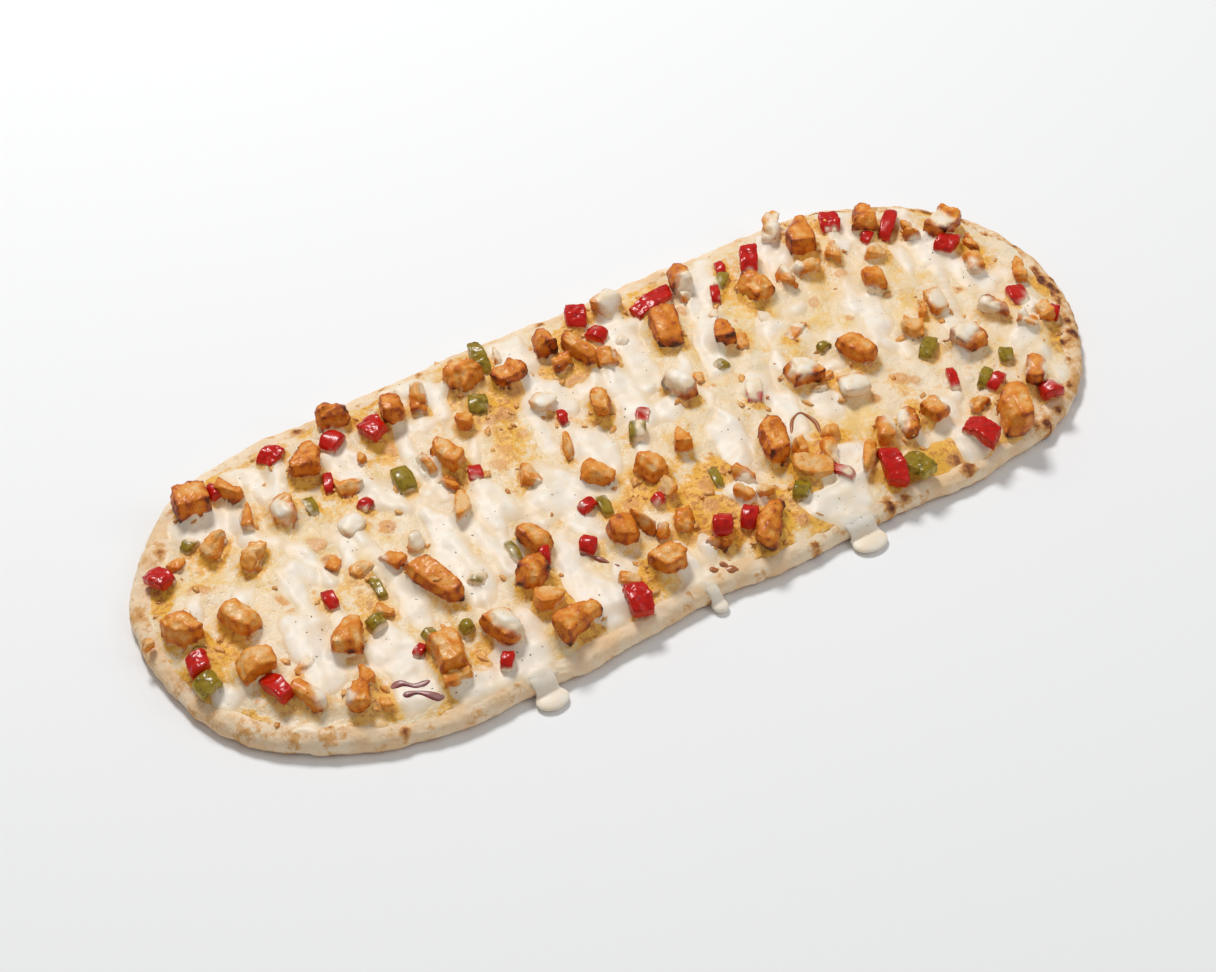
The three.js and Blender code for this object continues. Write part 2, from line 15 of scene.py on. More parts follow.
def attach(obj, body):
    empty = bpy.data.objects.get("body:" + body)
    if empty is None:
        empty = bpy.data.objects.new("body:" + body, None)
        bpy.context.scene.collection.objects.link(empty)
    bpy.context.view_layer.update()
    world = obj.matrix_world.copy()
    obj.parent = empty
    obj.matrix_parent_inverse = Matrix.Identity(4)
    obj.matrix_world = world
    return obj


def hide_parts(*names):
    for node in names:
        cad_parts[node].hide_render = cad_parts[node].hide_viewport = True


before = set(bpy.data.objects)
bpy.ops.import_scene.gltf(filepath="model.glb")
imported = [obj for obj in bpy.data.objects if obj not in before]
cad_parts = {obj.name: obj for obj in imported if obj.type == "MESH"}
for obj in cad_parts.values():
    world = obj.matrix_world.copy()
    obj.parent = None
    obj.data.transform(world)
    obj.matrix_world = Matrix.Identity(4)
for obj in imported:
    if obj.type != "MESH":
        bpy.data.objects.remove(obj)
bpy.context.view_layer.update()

MM = 0.001

# The bread: two straight sides and two round ends, as its crust is drawn.
STRAIGHT_HALF = 120
END_RADIUS = 82
ARC = math.pi * END_RADIUS
PERIMETER = 4 * STRAIGHT_HALF + 2 * ARC
BED_HEIGHT = 6.2
WAIST_HEIGHT = 3.3

# The melted cheese and where toppings are seated in it.
CHEESE_HEIGHT = 10.2
CHEESE_BOTTOM = 5.4
CHEESE_EDGE_INSET = 6.6
CHEESE_WANDER = 2.2
CHEESE_SHOULDER = 9.0
CHEESE_THIN = 0.4
BANK_HEIGHT = 2.2
SEAT_HEIGHT = 8.8

# Where the bed is level, how far under the cheese's height a topping may end and still cover
# it, how much of a topping shows at least, and how deep onion strips lie.
BED_INSET = 20
COVER_SLACK = 0.6
TOP_SHOWS = 1.5
STRIP_SINK = 0.9

# The grid that cheese and sauce are worked out on.
CELL = 0.8
GRID_X = np.arange(-206, 206 + CELL, CELL)
GRID_Y = np.arange(-88, 88 + CELL, CELL)
AT_X, AT_Y = np.meshgrid(GRID_X, GRID_Y, indexing="ij")

# White sauce squeezed on in strokes: start, end, width and sideways bow.
SAUCE_STROKES = [
    ((-138, 70), (-132, 49), 9, 4), ((-147, 33), (-131, -2), 8, 6), ((-166, 48), (-146, 43), 15, 0),
    ((-146, 14), (-145, -16), 10, 1), ((-153, -12), (-155, -44), 14, 2),
    ((-127, -33), (-132, -67), 14, 1), ((-112, 12), (-113, -38), 11, 2),
    ((-100, 53), (-87, 10), 12, -2), ((-85, 8), (-90, -44), 12, 2), ((-62, 76), (-52, 50), 10, 6),
    ((-71, 48), (-74, 12), 9, -2), ((-65, 2), (-74, -34), 9, 2), ((-51, -30), (-55, -73), 12, -1),
    ((-42, 0), (-37, -36), 11, 1), ((-13, 76), (-11, 28), 13, -2), ((-14, 14), (-12, -8), 11, 0),
    ((30, 62), (24, 22), 13, 2), ((14, 34), (12, 6), 11, -1), ((38, -4), (28, -32), 12, 1),
    ((82, 74), (50, 14), 11, -2), ((112, 72), (104, 52), 10, 1), ((128, 18), (108, -12), 11, 2),
    ((153, 70), (138, 46), 9, -1), ((174, 58), (136, -32), 10, 5), ((168, 14), (173, -6), 12, 0),
    ((60, -4), (57, -28), 10, 1), ((70, -50), (50, -80), 13, -3), ((107, -62), (107, -80), 10, 1),
    ((-92, -56), (-91, -79), 13, 0), ((-18, -58), (-18, -78), 9, 0), ((124, 29), (117, 13), 8, 0),
    ((160, 40), (148, 14), 6, 0), ((169, 38), (160, 18), 5, 0), ((180, 62), (166, 44), 7, 0),
    ((100, 66), (88, 40), 6, 0), ((8, 12), (-4, -12), 5, 2), ((-20, 40), (-28, 14), 8, 0),
    ((-120, 60), (-128, 46), 7, 0),
]
SAUCE_RISE = 0.95
SAUCE_ROUND = 6.5
SAUCE_SINK = 0.3
SAUCE_BOTTOM = 7.0
SAUCE_INSET = 4
SAUCE_EDGE = -1.6
FAR_OUTSIDE = -20.0

# Sauce over toppings: the least share of one that it covers, its depth and rounded edge.
COAT_SHARE = 0.09
COAT_RISE = 0.55
COAT_ROUND = 2.2

# Pools where the sauce has run together: middle, reach along and across, turn in degrees.
SAUCE_POOLS = [
    (-156, 50, 15, 6, -12), (-139, 9, 8, 7, 0), (-153, -26, 12, 6, 95), (-178, 11, 8, 4, 60),
    (-130, -48, 13, 7, -65), (-104, -74, 18, 6, -10), (-95, 50, 9, 7, -60), (-87, -18, 18, 5, 95),
    (-74, -14, 14, 5, 100), (-66, 51, 6, 5, 0), (-61, 0, 13, 6, 95), (-34, -5, 15, 7, -70),
    (-46, -8, 7, 5, 60), (-54, -66, 10, 9, 90), (-58, 76, 7, 5, 0), (-10, 68, 12, 7, 85),
    (1, 33, 5, 3, 0), (-16, 9, 9, 7, 60), (13, 30, 7, 6, 60), (22, 6, 7, 6, 45),
    (32, -16, 9, 7, 70), (30, 56, 11, 6, 70), (56, 28, 10, 6, 60), (58, -2, 10, 7, 30),
    (66, -51, 9, 4, -10), (55, -72, 9, 6, 65), (19, -44, 6, 4, 0), (77, 66, 10, 6, 65),
    (112, 56, 9, 6, 70), (153, 66, 6, 3, 50), (122, 22, 9, 4, 65), (118, -10, 9, 5, -60),
    (75, -25, 8, 6, 60), (176, -2, 11, 6, 10), (164, -36, 9, 6, 20), (178, -24, 5, 3, 50),
    (166, -58, 7, 4, 60), (143, -14, 7, 4, 60), (100, 6, 7, 5, 0), (98, 27, 6, 4, 0),
    (86, 22, 6, 4, 0), (-186, -31, 6, 4, -30), (-171, -57, 6, 4, -20), (-54, -42, 9, 7, 90),
    (112, -52, 6, 7, 0), (96, -62, 6, 4, 0), (118, -66, 6, 4, -30), (46, -71, 9, 9, 90),
    (-93, -68, 12, 9, 90), (-20, -72, 7, 5, 90), (-113, -22, 12, 4, 95), (-160, 8, 7, 4, 20),
    (-118, 8, 8, 6, 60), (-40, -55, 8, 5, 60),
]

# Bare cheese where the fat has run out: middle, reach along and across, turn, strength.
GREASE = [
    (-186, 22, 7, 4, 60, 0.9), (-188, -40, 9, 5, -35, 0.6), (-172, 19, 5, 3, 0, 0.5),
    (-125, 72, 14, 4, 10, 0.45), (-77, 47, 10, 7, 60, 0.8), (-68, 17, 7, 4, 70, 0.8),
    (-30, 46, 14, 8, 10, 0.9), (-58, 52, 5, 3, 0, 0.5), (-45, 62, 9, 5, 70, 1.0),
    (1, 42, 11, 7, 20, 0.8), (6, -41, 13, 8, 75, 1.3), (-1, -57, 9, 8, 0, 1.2),
    (34, -64, 14, 9, -20, 1.3), (62, -44, 9, 7, 60, 1.1), (-36, -60, 9, 6, 80, 1.0),
    (-100, -62, 6, 5, 0, 0.8), (92, -70, 15, 8, 5, 0.9), (117, -79, 7, 3, 20, 1.0),
    (85, 36, 8, 5, 60, 0.7), (89, 15, 10, 3, 20, 0.5), (150, 35, 5, 3, 50, 0.5),
    (190, -16, 9, 4, 80, 0.8), (160, -71, 10, 4, 35, 0.7), (-177, -12, 6, 6, 0, 0.6),
    (-125, -20, 10, 4, 85, 0.7), (-145, -60, 7, 6, 0, 0.7), (-168, -44, 8, 4, -60, 0.7),
    (-42, 20, 12, 9, 40, 0.45), (-45, -20, 6, 5, 0, 0.5), (-118, 52, 9, 5, 0, 0.8),
    (-100, 35, 6, 8, 0, 0.5), (14, -73, 12, 6, 40, 1.1), (20, -34, 10, 9, 0, 0.9),
    (-64, -55, 6, 9, 0, 0.9), (-12, -24, 7, 6, 0, 0.7), (130, 66, 8, 8, 0, 0.6),
    (155, 52, 6, 8, 0, 0.6), (80, 0, 9, 9, 0, 0.35), (107, -28, 8, 6, 60, 0.4),
    (-150, 64, 10, 6, 30, 0.5), (-165, 28, 6, 4, 0, 0.5), (-15, 52, 9, 5, 0, 0.7),
    (182, 12, 7, 6, 70, 0.7), (174, -45, 8, 5, 50, 0.7), (136, -62, 8, 8, 0, 0.7),
    (10, 62, 8, 6, 60, 0.8), (45, 62, 9, 5, 10, 0.6), (-84, 68, 10, 5, 10, 0.6),
    (-20, -30, 6, 6, 0, 0.6), (100, -48, 8, 6, 0, 0.7), (50, -50, 9, 9, 0, 1.1),
]

# Browned bubbles on the cheese: middle, size and strength.
BLISTERS = [
    (-150, 0, 3.4, 0.8), (-150, -9, 3.0, 0.8), (-101, 12, 4.0, 0.8), (-87, 13, 3.6, 0.9),
    (-127, 16, 4.0, 0.7), (-126, 6, 3.6, 1.0), (-130, 3, 2.8, 1.0), (-113, -36, 3.4, 0.8),
    (-82, -33, 3.2, 0.9), (-46, -20, 4.6, 0.7), (-49, 15, 3.8, 0.6), (-42, 21, 3.2, 0.6),
    (-33, 26, 3.0, 0.6), (15, 20, 2.6, 0.6), (107, 27, 3.4, 0.7), (108, -28, 3.2, 0.8),
    (93, -33, 2.6, 0.9), (160, 2, 2.6, 0.8), (127, 34, 2.6, 0.7), (113, 12, 3.0, 0.6),
    (-32, 38, 3.6, 0.9), (-24, 47, 3.8, 0.9), (-38, 37, 3.0, 0.9), (0, 39, 4.0, 0.8),
    (8, 41, 3.0, 0.9), (-76, 46, 4.4, 0.8), (-72, 52, 3.4, 0.9), (-173, 19, 3.4, 0.8),
    (-186, -42, 3.4, 0.8), (59, 51, 2.4, 0.9), (32, 45, 2.8, 0.9), (112, -32, 2.6, 0.7),
    (100, -76, 3.4, 0.9), (96, -74, 2.6, 1.0), (36, -66, 3.8, 1.0), (30, -70, 3.0, 1.0),
    (6, -46, 3.4, 0.9), (10, -36, 3.0, 0.9), (-20, -28, 3.0, 0.8), (-5, -57, 2.6, 0.8),
]

# Dabs of sauce that lie over pieces: middle, reach along and across, turn in degrees.
SAUCE_DABS = [
    (-157, -52, 8, 6, 80), (-16, -41, 6, 4, 80), (113, -55, 8, 6, 80), (108, 45, 5, 4, 60),
    (135, 45, 6, 4, 60), (35, 68, 7, 6, 60), (-60, 71, 6, 4, 20), (75, -8, 6, 5, 0),
    (86, -27, 7, 6, 0), (88, -50, 7, 5, 60), (146, -52, 6, 4, 60), (155, -63, 5, 4, 60),
    (170, -27, 5, 4, 60), (30.5, 12, 7, 5, -70), (141, -27, 6, 5, 0), (-91, -60, 7, 4, -75),
    (-110, 19, 8, 7, 0), (-96, -4, 4, 5, 0), (-17, 33, 5, 5, 0), (119, 70, 9, 4, 60),
    (159, -20, 4, 7, 10), (176, 34, 4, 5, 0), (145, -4, 4, 4, 0), (-131, 34, 4, 6, 0),
    (66, 58, 5, 4, 0),
]

# Sauce that runs over the near side of the rim into a drop at its foot: where it leaves
# the cheese, how far it slants, its width, and the drop's width and reach past the rim.
DRIPS = [(-93, 3, 13, 13, 8), (-21, 5, 7, 6.5, 5), (45, 4, 17, 15, 9)]
DROP_HEIGHT = 1.6
DROP_CLEARANCE = 0.15
SPOUT_SIDE = -62

# Browned bubbles and spots on the rim: middle, size and strength.
RIM_SPOTS = [
    (143, 73, 2.6, 1.1), (136, 74, 2.4, 1.0), (190, 15, 2.6, 0.9), (195, 7, 2.8, 1.1),
    (193, -12, 2.8, 1.1), (195, -20, 2.0, 1.1), (191, -26, 2.2, 0.9), (187, -36, 2.4, 0.9),
    (183, -42, 2.4, 0.9), (176, -45, 3.0, 1.0), (172, -54, 2.2, 0.9), (197, -4, 2.4, 0.8),
    (188, 24, 2.4, 0.8), (176, 48, 2.4, 0.7), (141, -77, 2.8, 1.1), (100, -80, 4.0, 1.1),
    (63, -80, 3.4, 1.0), (70, -79, 2.2, 0.9), (56, -83, 2.0, 0.8), (-142, -75, 2.0, 1.1),
    (-198, 9, 3.4, 0.8), (-19, -81, 1.8, 1.1), (8, 78, 3.0, 1.0), (-103, 76, 2.2, 1.0),
    (-65, 78, 2.0, 0.8), (-176, -57, 3.2, 0.35), (-165, -64, 3.2, 0.35), (-190, -45, 3.4, 0.35),
    (-152, -76, 3.4, 0.35), (-133, -80, 3.0, 0.35), (-175, 46, 3.4, 0.6), (28, -80, 3.0, 0.6),
    (-48, 78, 2.2, 0.7), (90, 74, 3.2, 0.6), (165, -66, 3.0, 0.7), (200, -12, 2.6, 0.9),
]

# Small pieces half sunk in the cheese: middle, length, width, height, turn and cut, a lump
# where none is named.
SMALL_CHICKEN = [
    (-164, -47, 15, 7, 8, -70), (-158.5, 34, 14, 8, 8, 35, "wedge"), (-149.5, 21, 13, 8, 8, 50),
    (-143.5, -49.5, 10, 6, 7, 70), (-142.5, 41.5, 15, 5, 7, 68), (-142, 56, 12, 7, 8, -68),
    (-117, -67.5, 12, 7, 7, -5), (-107.5, -7.5, 9, 8, 7, 10), (-102, 35.5, 12, 9, 6, 20),
    (-73.5, 3.5, 15, 7, 7, 68, "wedge"), (-73, 29.5, 12, 4, 7, -85), (-71, -54, 12, 9, 8, -10),
    (-58, 61.5, 14, 7, 9, 68), (-49, 40.5, 10, 8, 8, 40), (-44, 3.5, 11, 9, 6, 60),
    (-22.5, -10.5, 14, 10, 8, -60), (-21.5, -40.5, 14, 6, 9, -82), (-18.5, -49, 7, 6, 7, 70),
    (-18, 34.5, 11, 10, 6, 30), (-9, -48, 13, 7, 8, 60), (-5, -32, 10, 6, 8, 65),
    (-2, -63.5, 11, 9, 7, 30), (-0.5, 20.5, 14, 8, 8, 70), (14.5, -12.5, 14, 7, 9, 65, "wedge"),
    (17, 42, 13, 9, 8, 40), (18, -49, 8, 6, 7, -70), (23.5, -40.5, 11, 6, 7, -65),
    (25.5, -51.5, 7, 7, 7, 0), (33, 67.5, 12, 9, 9, 20, "cube"), (47, -52.5, 16, 11, 9, -25),
    (50.5, -40, 12, 6, 8, 65), (58.5, -49.5, 15, 6, 7, 70), (65, -40.5, 9, 7, 7, 0),
    (68, -60, 16, 6, 8, 55), (81.5, -51.5, 15, 8, 9, 65), (87, -25, 12, 10, 8, -10, "cube"),
    (104, 42, 12, 6, 8, 80), (115, 43, 12, 10, 8, 20), (117, 70.5, 18, 7, 9, 52),
    (128.5, -10.5, 10, 9, 7, 50, "cube"), (129.5, 43.5, 11, 7, 7, 45), (132.5, 21.5, 14, 9, 9, 70),
    (144.5, 35.5, 10, 8, 7, 30), (145, -3, 11, 8, 8, 80, "cube"), (165, 39.5, 11, 7, 8, 70),
    (168.5, -32, 9, 7, 7, -60), (174.5, 10, 16, 8, 8, 68), (178.5, -30.5, 11, 7, 7, 65),
    (186.5, -5.5, 14, 6, 7, 62), (0, 48.5, 9, 7, 6, 0, "cube"), (138.5, -2.5, 10, 4, 6, 65),
    (123, -58, 9, 6, 5, 20), (-111, 17, 11, 9, 5, 0), (-119, -4, 9, 8, 5, 30),
    (-123, -26, 8, 6, 5, -50), (-96.5, -2.5, 9, 6, 6, 60), (-41.5, -61.5, 9, 7, 6, -30),
    (84, 30.5, 12, 6, 4, 70), (-22.5, 10, 14, 4, 5, 68), (-70, 17, 9, 6, 5, -60),
    (-174, 34.5, 8, 6, 4, 40), (-126, 4.5, 8, 6, 4, 40), (-158, -33.5, 9, 6, 4, 0),
    (182.5, 21, 11, 5, 5, 70), (64, 56, 6, 5, 6, 0), (89.5, 16, 14, 6, 3, 25),
    (67.5, 22, 10, 6, 4, 60), (-199, 6, 5, 4, 4, 0), (-182, 12, 5, 4, 4, 80),
    (-91, 47, 5, 4, 4, 30), (-143, -64, 6, 5, 5, 70), (-19, 68, 10, 3, 4, 70),
    (27.5, 48, 6, 5, 4, 20), (67.5, 41, 7, 5, 4, 45), (41.5, 14, 7, 5, 4, 60),
    (77, -17, 8, 5, 5, 20), (84, -13, 6, 4, 4, 10), (134, 51, 6, 3, 4, 45),
]

# Small dice of pepper: middle, length, width, height, turn and tilt.
SMALL_RED_PEPPER = [
    (-146.5, 58.5, 6, 6, 7, 0, 0), (-60.5, -34.5, 9, 4, 7, 68, 5), (0, -60, 9, 8, 10, 60, 12),
    (-96.5, 60, 10, 8, 5, 30, 10), (-44.5, -39, 8, 7, 5, 40, 10), (21, 56, 9, 7, 5, -60, 10),
    (12.5, -60, 10, 7, 6, 50, 10), (160.5, 47.5, 17, 6, 5, 40, 8), (151, -67.5, 9, 7, 6, -10, 8),
    (177, -16.5, 11, 8, 4, 70, 8), (74.5, 50.5, 10, 4, 5, 65, 5), (136, -52.5, 10, 5, 6, 20, 8),
    (-108, 41.5, 10, 4, 4, 65, 5), (-59.5, 16, 8, 6, 4, 70, 5), (148.5, 46, 7, 5, 5, 20, 5),
    (123.5, -41, 12, 4, 4, 68, 5), (55.5, -59.5, 11, 5, 5, -65, 5), (54.5, -4.5, 12, 7, 4, 62, 5),
    (-10.5, -34.5, 6, 5, 6, 0, 5), (-33.5, -21.5, 8, 5, 4, 10, 5), (-98, -70, 7, 5, 5, 50, 5),
    (182.5, -32, 7, 5, 5, 45, 5), (86, 63.5, 8, 4, 4, 70, 5), (-121, -49, 6, 4, 4, 30, 5),
    (-136, -11, 9, 5, 4, 80, 5), (-15.5, 24, 7, 4, 4, 70, 5), (11, 8, 8, 6, 3, 60, 5),
    (-101.5, 25, 6, 5, 3, 20, 5),
]
SMALL_GREEN_PEPPER = [
    (-39.5, 47, 10, 8, 5, 60, 8), (-84, 27, 12, 8, 5, 80, 8), (37, -59, 8, 7, 5, 50, 8),
    (134, -48, 10, 5, 5, 35, 8), (127, -21.5, 12, 6, 4, 38, 5), (81.5, 56, 10, 5, 5, 40, 5),
    (3.5, 1, 9, 7, 6, 60, 5), (-119.5, 34, 9, 5, 4, 80, 5), (-127.5, -30, 7, 6, 5, 0, 5),
    (-86.5, -30.5, 7, 6, 4, -50, 5), (150, -41.5, 8, 6, 4, 55, 5), (-118.5, -14, 12, 4, 3, 85, 0),
    (-114.5, -44.5, 6, 5, 4, 0, 0), (-102, -49, 6, 5, 5, 0, 0), (-68.5, -26, 11, 4, 4, 85, 0),
    (-27.5, -24, 10, 5, 3, 75, 0), (15, -35, 11, 4, 3, 80, 0), (-165.5, 41, 7, 5, 4, 20, 0),
    (53, 15, 6, 5, 4, 0, 0), (93, 2, 6, 4, 4, 0, 0), (-186.5, -7, 6, 3, 4, 0, 0),
]

# How many seeded bubbles and small pools are added to those listed, and how many tries are
# made at one more spot on the rim.
RIM_SPOT_TRIES = 260
GOLDEN_SPOT_COUNT = 170
SMALL_POOL_COUNT = 46

# Voxels of the finer pieces, and the bubbles' rise over the cheese.
CHICKEN_VOXEL = 0.75
PEPPER_VOXEL = 0.5
DRIP_VOXEL = 0.45
BUBBLE_RISE = 0.6

# Onion strips: the points along each, its width, how far it stands up, and how fried it is.
ONION_STRIPS = [
    ([(-139, -57), (-134, -58), (-130, -62), (-125, -63)], 3.2, 0.7, 0),
    ([(-136, -63), (-131, -65), (-126, -70), (-119, -72)], 3.0, 0.8, 0),
    ([(-49, -40), (-44, -46), (-40, -53)], 2.0, 0.8, 0.4),
    ([(-13, -71), (-9, -73), (-5, -75), (-3, -77)], 3.4, 0.9, 1),
    ([(-8, -70), (-6, -73), (-7, -76)], 2.2, 0.9, 1),
    ([(53, -31), (58, -25), (63, -24), (65, -30), (62, -38)], 1.7, 1.0, 1),
]

CUTS = {
    "cube": {"round": 0.34, "taper": 0.1, "faces": 3, "lobes": 2, "crease": 0.25},
    "wedge": {"round": 0.40, "taper": 0.55, "faces": 3, "lobes": 3, "crease": 0.4},
    "lump": {"round": 0.60, "taper": 0.25, "faces": 5, "lobes": 3, "crease": 0.6},
}


# ---------- numbers ----------

def soft_step(low, high, value):
    """0 below low, 1 above high and smooth between."""
    share = np.clip((value - low) / (high - low), 0, 1)
    return share * share * (3 - 2 * share)


def blur(field, reach):
    """A grid field smoothed over a reach in millimetres."""
    sigma = reach / CELL
    across = np.fft.fftfreq(field.shape[0])[:, None]
    up = np.fft.rfftfreq(field.shape[1])[None, :]
    weight = np.exp(-2 * (math.pi * sigma) ** 2 * (across ** 2 + up ** 2))
    return np.fft.irfft2(np.fft.rfft2(field) * weight, field.shape)


def unevenness(random, size):
    """A smooth random grid field with bumps of about this size, mostly between -1 and 1."""
    field = blur(random.standard_normal(AT_X.shape), size / 2)
    return field / (2 * field.std())


def streaks(random, along, across, turn):
    """A smooth random grid field drawn out along a direction, mostly between -1 and 1."""
    angle = math.radians(turn)
    right = np.fft.fftfreq(AT_X.shape[0])[:, None] / CELL
    up = np.fft.rfftfreq(AT_X.shape[1])[None, :] / CELL
    ahead = right * math.cos(angle) + up * math.sin(angle)
    aside = up * math.cos(angle) - right * math.sin(angle)
    weight = np.exp(-2 * math.pi ** 2 * ((along / 2 * ahead) ** 2 + (across / 2 * aside) ** 2))
    field = np.fft.irfft2(np.fft.rfft2(random.standard_normal(AT_X.shape)) * weight, AT_X.shape)
    return field / (2 * field.std())


def read_grid(field, x, y):
    """A grid field at any points."""
    column = np.clip((x - GRID_X[0]) / CELL, 0, len(GRID_X) - 1.001)
    row = np.clip((y - GRID_Y[0]) / CELL, 0, len(GRID_Y) - 1.001)
    i, j = column.astype(int), row.astype(int)
    u, v = column - i, row - j
    low = field[i, j] * (1 - u) + field[i + 1, j] * u
    high = field[i, j + 1] * (1 - u) + field[i + 1, j + 1] * u
    return low * (1 - v) + high * v


def fractal(points, size, detail=2):
    """Perlin noise at points, with bumps of about this size."""
    return np.array([noise.fractal(Vector(p) / size, 0.8, 2.0, detail) for p in points])


def unit(ways):
    """Each row scaled to length one."""
    return ways / np.linalg.norm(ways, axis=1)[:, None]


# ---------- meshes ----------

def placed(name, data):
    """A new object of the scene, made of a mesh, a lamp or a camera."""
    made = bpy.data.objects.new(name, data)
    bpy.context.scene.collection.objects.link(made)
    return made


def mesh_object(name, points, faces, attributes=None, smooth=True):
    """A new object from points in millimetres, with named values on its points."""
    mesh = bpy.data.meshes.new(name)
    mesh.from_pydata((np.asarray(points) * MM).tolist(), [], [tuple(map(int, f)) for f in faces])
    for key, values in (attributes or {}).items():
        mesh.attributes.new(key, "FLOAT", "POINT").data.foreach_set(
            "value", np.asarray(values, np.float32)
        )
    mesh.polygons.foreach_set("use_smooth", [smooth] * len(mesh.polygons))
    mesh.update()
    return placed(name, mesh)


def read_all(items, key, width, kind=np.float32):
    """A property of all items of a mesh, a row for each."""
    values = np.empty(width * len(items), kind)
    items.foreach_get(key, values)
    return values.reshape(-1, width)


def points_of(mesh):
    return read_all(mesh.vertices, "co", 3).astype(float) / MM


def normals_of(mesh):
    return read_all(mesh.vertex_normals, "vector", 3).astype(float)


def edges_of(mesh):
    return read_all(mesh.edges, "vertices", 2, np.int32)


def set_points(mesh, points):
    mesh.vertices.foreach_set("co", (points * MM).astype(np.float32).ravel())
    mesh.update()


def set_value(mesh, key, values):
    layer = mesh.attributes.get(key) or mesh.attributes.new(key, "FLOAT", "POINT")
    layer.data.foreach_set("value", np.asarray(values, np.float32))


def value_of(mesh, key):
    return read_all(mesh.attributes[key].data, "value", 1).ravel()


def reworked(mesh, change):
    """Changes a mesh by a function of its editable form."""
    shell = bmesh.new()
    shell.from_mesh(mesh)
    change(shell)
    shell.to_mesh(mesh)
    shell.free()


def merged_copy(node, name):
    """A copy of a CAD node with its loose triangles joined."""
    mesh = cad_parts[node].data.copy()
    mesh.name = name
    mesh.materials.clear()
    reworked(mesh, lambda shell: bmesh.ops.remove_doubles(
        shell, verts=shell.verts, dist=0.01 * MM))
    return placed(name, mesh)


def settle_modifiers(piece):
    """Turns the modifiers of a piece into plain mesh."""
    graph = bpy.context.evaluated_depsgraph_get()
    finished = bpy.data.meshes.new_from_object(piece.evaluated_get(graph))
    finished.name = piece.name
    piece.modifiers.clear()
    piece.data = finished
    finished.polygons.foreach_set("use_smooth", [True] * len(finished.polygons))
    finished.update()


def remeshed(piece, voxel, rounds):
    """A fine even mesh of a faceted piece, with its knife edges a little rounded."""
    remesh = piece.modifiers.new("even mesh", "REMESH")
    remesh.mode = "VOXEL"
    remesh.voxel_size = voxel * MM
    soften = piece.modifiers.new("soft edges", "SMOOTH")
    soften.factor = 0.5
    soften.iterations = rounds
    settle_modifiers(piece)


def bulge(mesh):
    """How far each point stands out from its neighbours, in millimetres."""
    points, normals, edges = points_of(mesh), normals_of(mesh), edges_of(mesh)
    total = np.zeros_like(points)
    count = np.zeros(len(points))
    for one, other in ((0, 1), (1, 0)):
        np.add.at(total, edges[:, one], points[edges[:, other]])
        np.add.at(count, edges[:, one], 1)
    mean = total / np.maximum(count, 1)[:, None]
    return np.einsum("ij,ij->i", points - mean, normals)


def over_neighbours(mesh, values, rounds):
    """Values on points, evened out over the neighbours."""
    edges = edges_of(mesh)
    for _ in range(rounds):
        total, count = values.copy(), np.ones(len(values))
        for one, other in ((0, 1), (1, 0)):
            np.add.at(total, edges[:, one], values[edges[:, other]])
            np.add.at(count, edges[:, one], 1)
        values = (total.T / count).T
    return values


class Heap:
    """Many small shapes gathered into one mesh."""

    def __init__(self):
        self.points, self.faces, self.values, self.count = [], [], {}, 0
        self.parts = []

    def add(self, points, faces, **values):
        self.parts.append((points, faces))
        self.faces.extend(tuple(i + self.count for i in face) for face in faces)
        self.points.append(points)
        self.count += len(points)
        for key, value in values.items():
            spread = np.broadcast_to(value, len(points))
            self.values.setdefault(key, []).append(spread)

    def build(self, name):
        values = {key: np.concatenate(parts) for key, parts in self.values.items()}
        return mesh_object(name, np.concatenate(self.points), self.faces, values)


def unit_block(cuts):
    """Points and quads of a cube from -1 to 1 with a grid of cuts on each side."""
    shell = bmesh.new()
    bmesh.ops.create_cube(shell, size=2)
    bmesh.ops.subdivide_edges(shell, edges=shell.edges, cuts=cuts, use_grid_fill=True)
    shell.verts.ensure_lookup_table()
    points = np.array([v.co[:] for v in shell.verts])
    faces = [tuple(v.index for v in face.verts) for face in shell.faces]
    shell.free()
    return points, faces


# ---------- node trees ----------

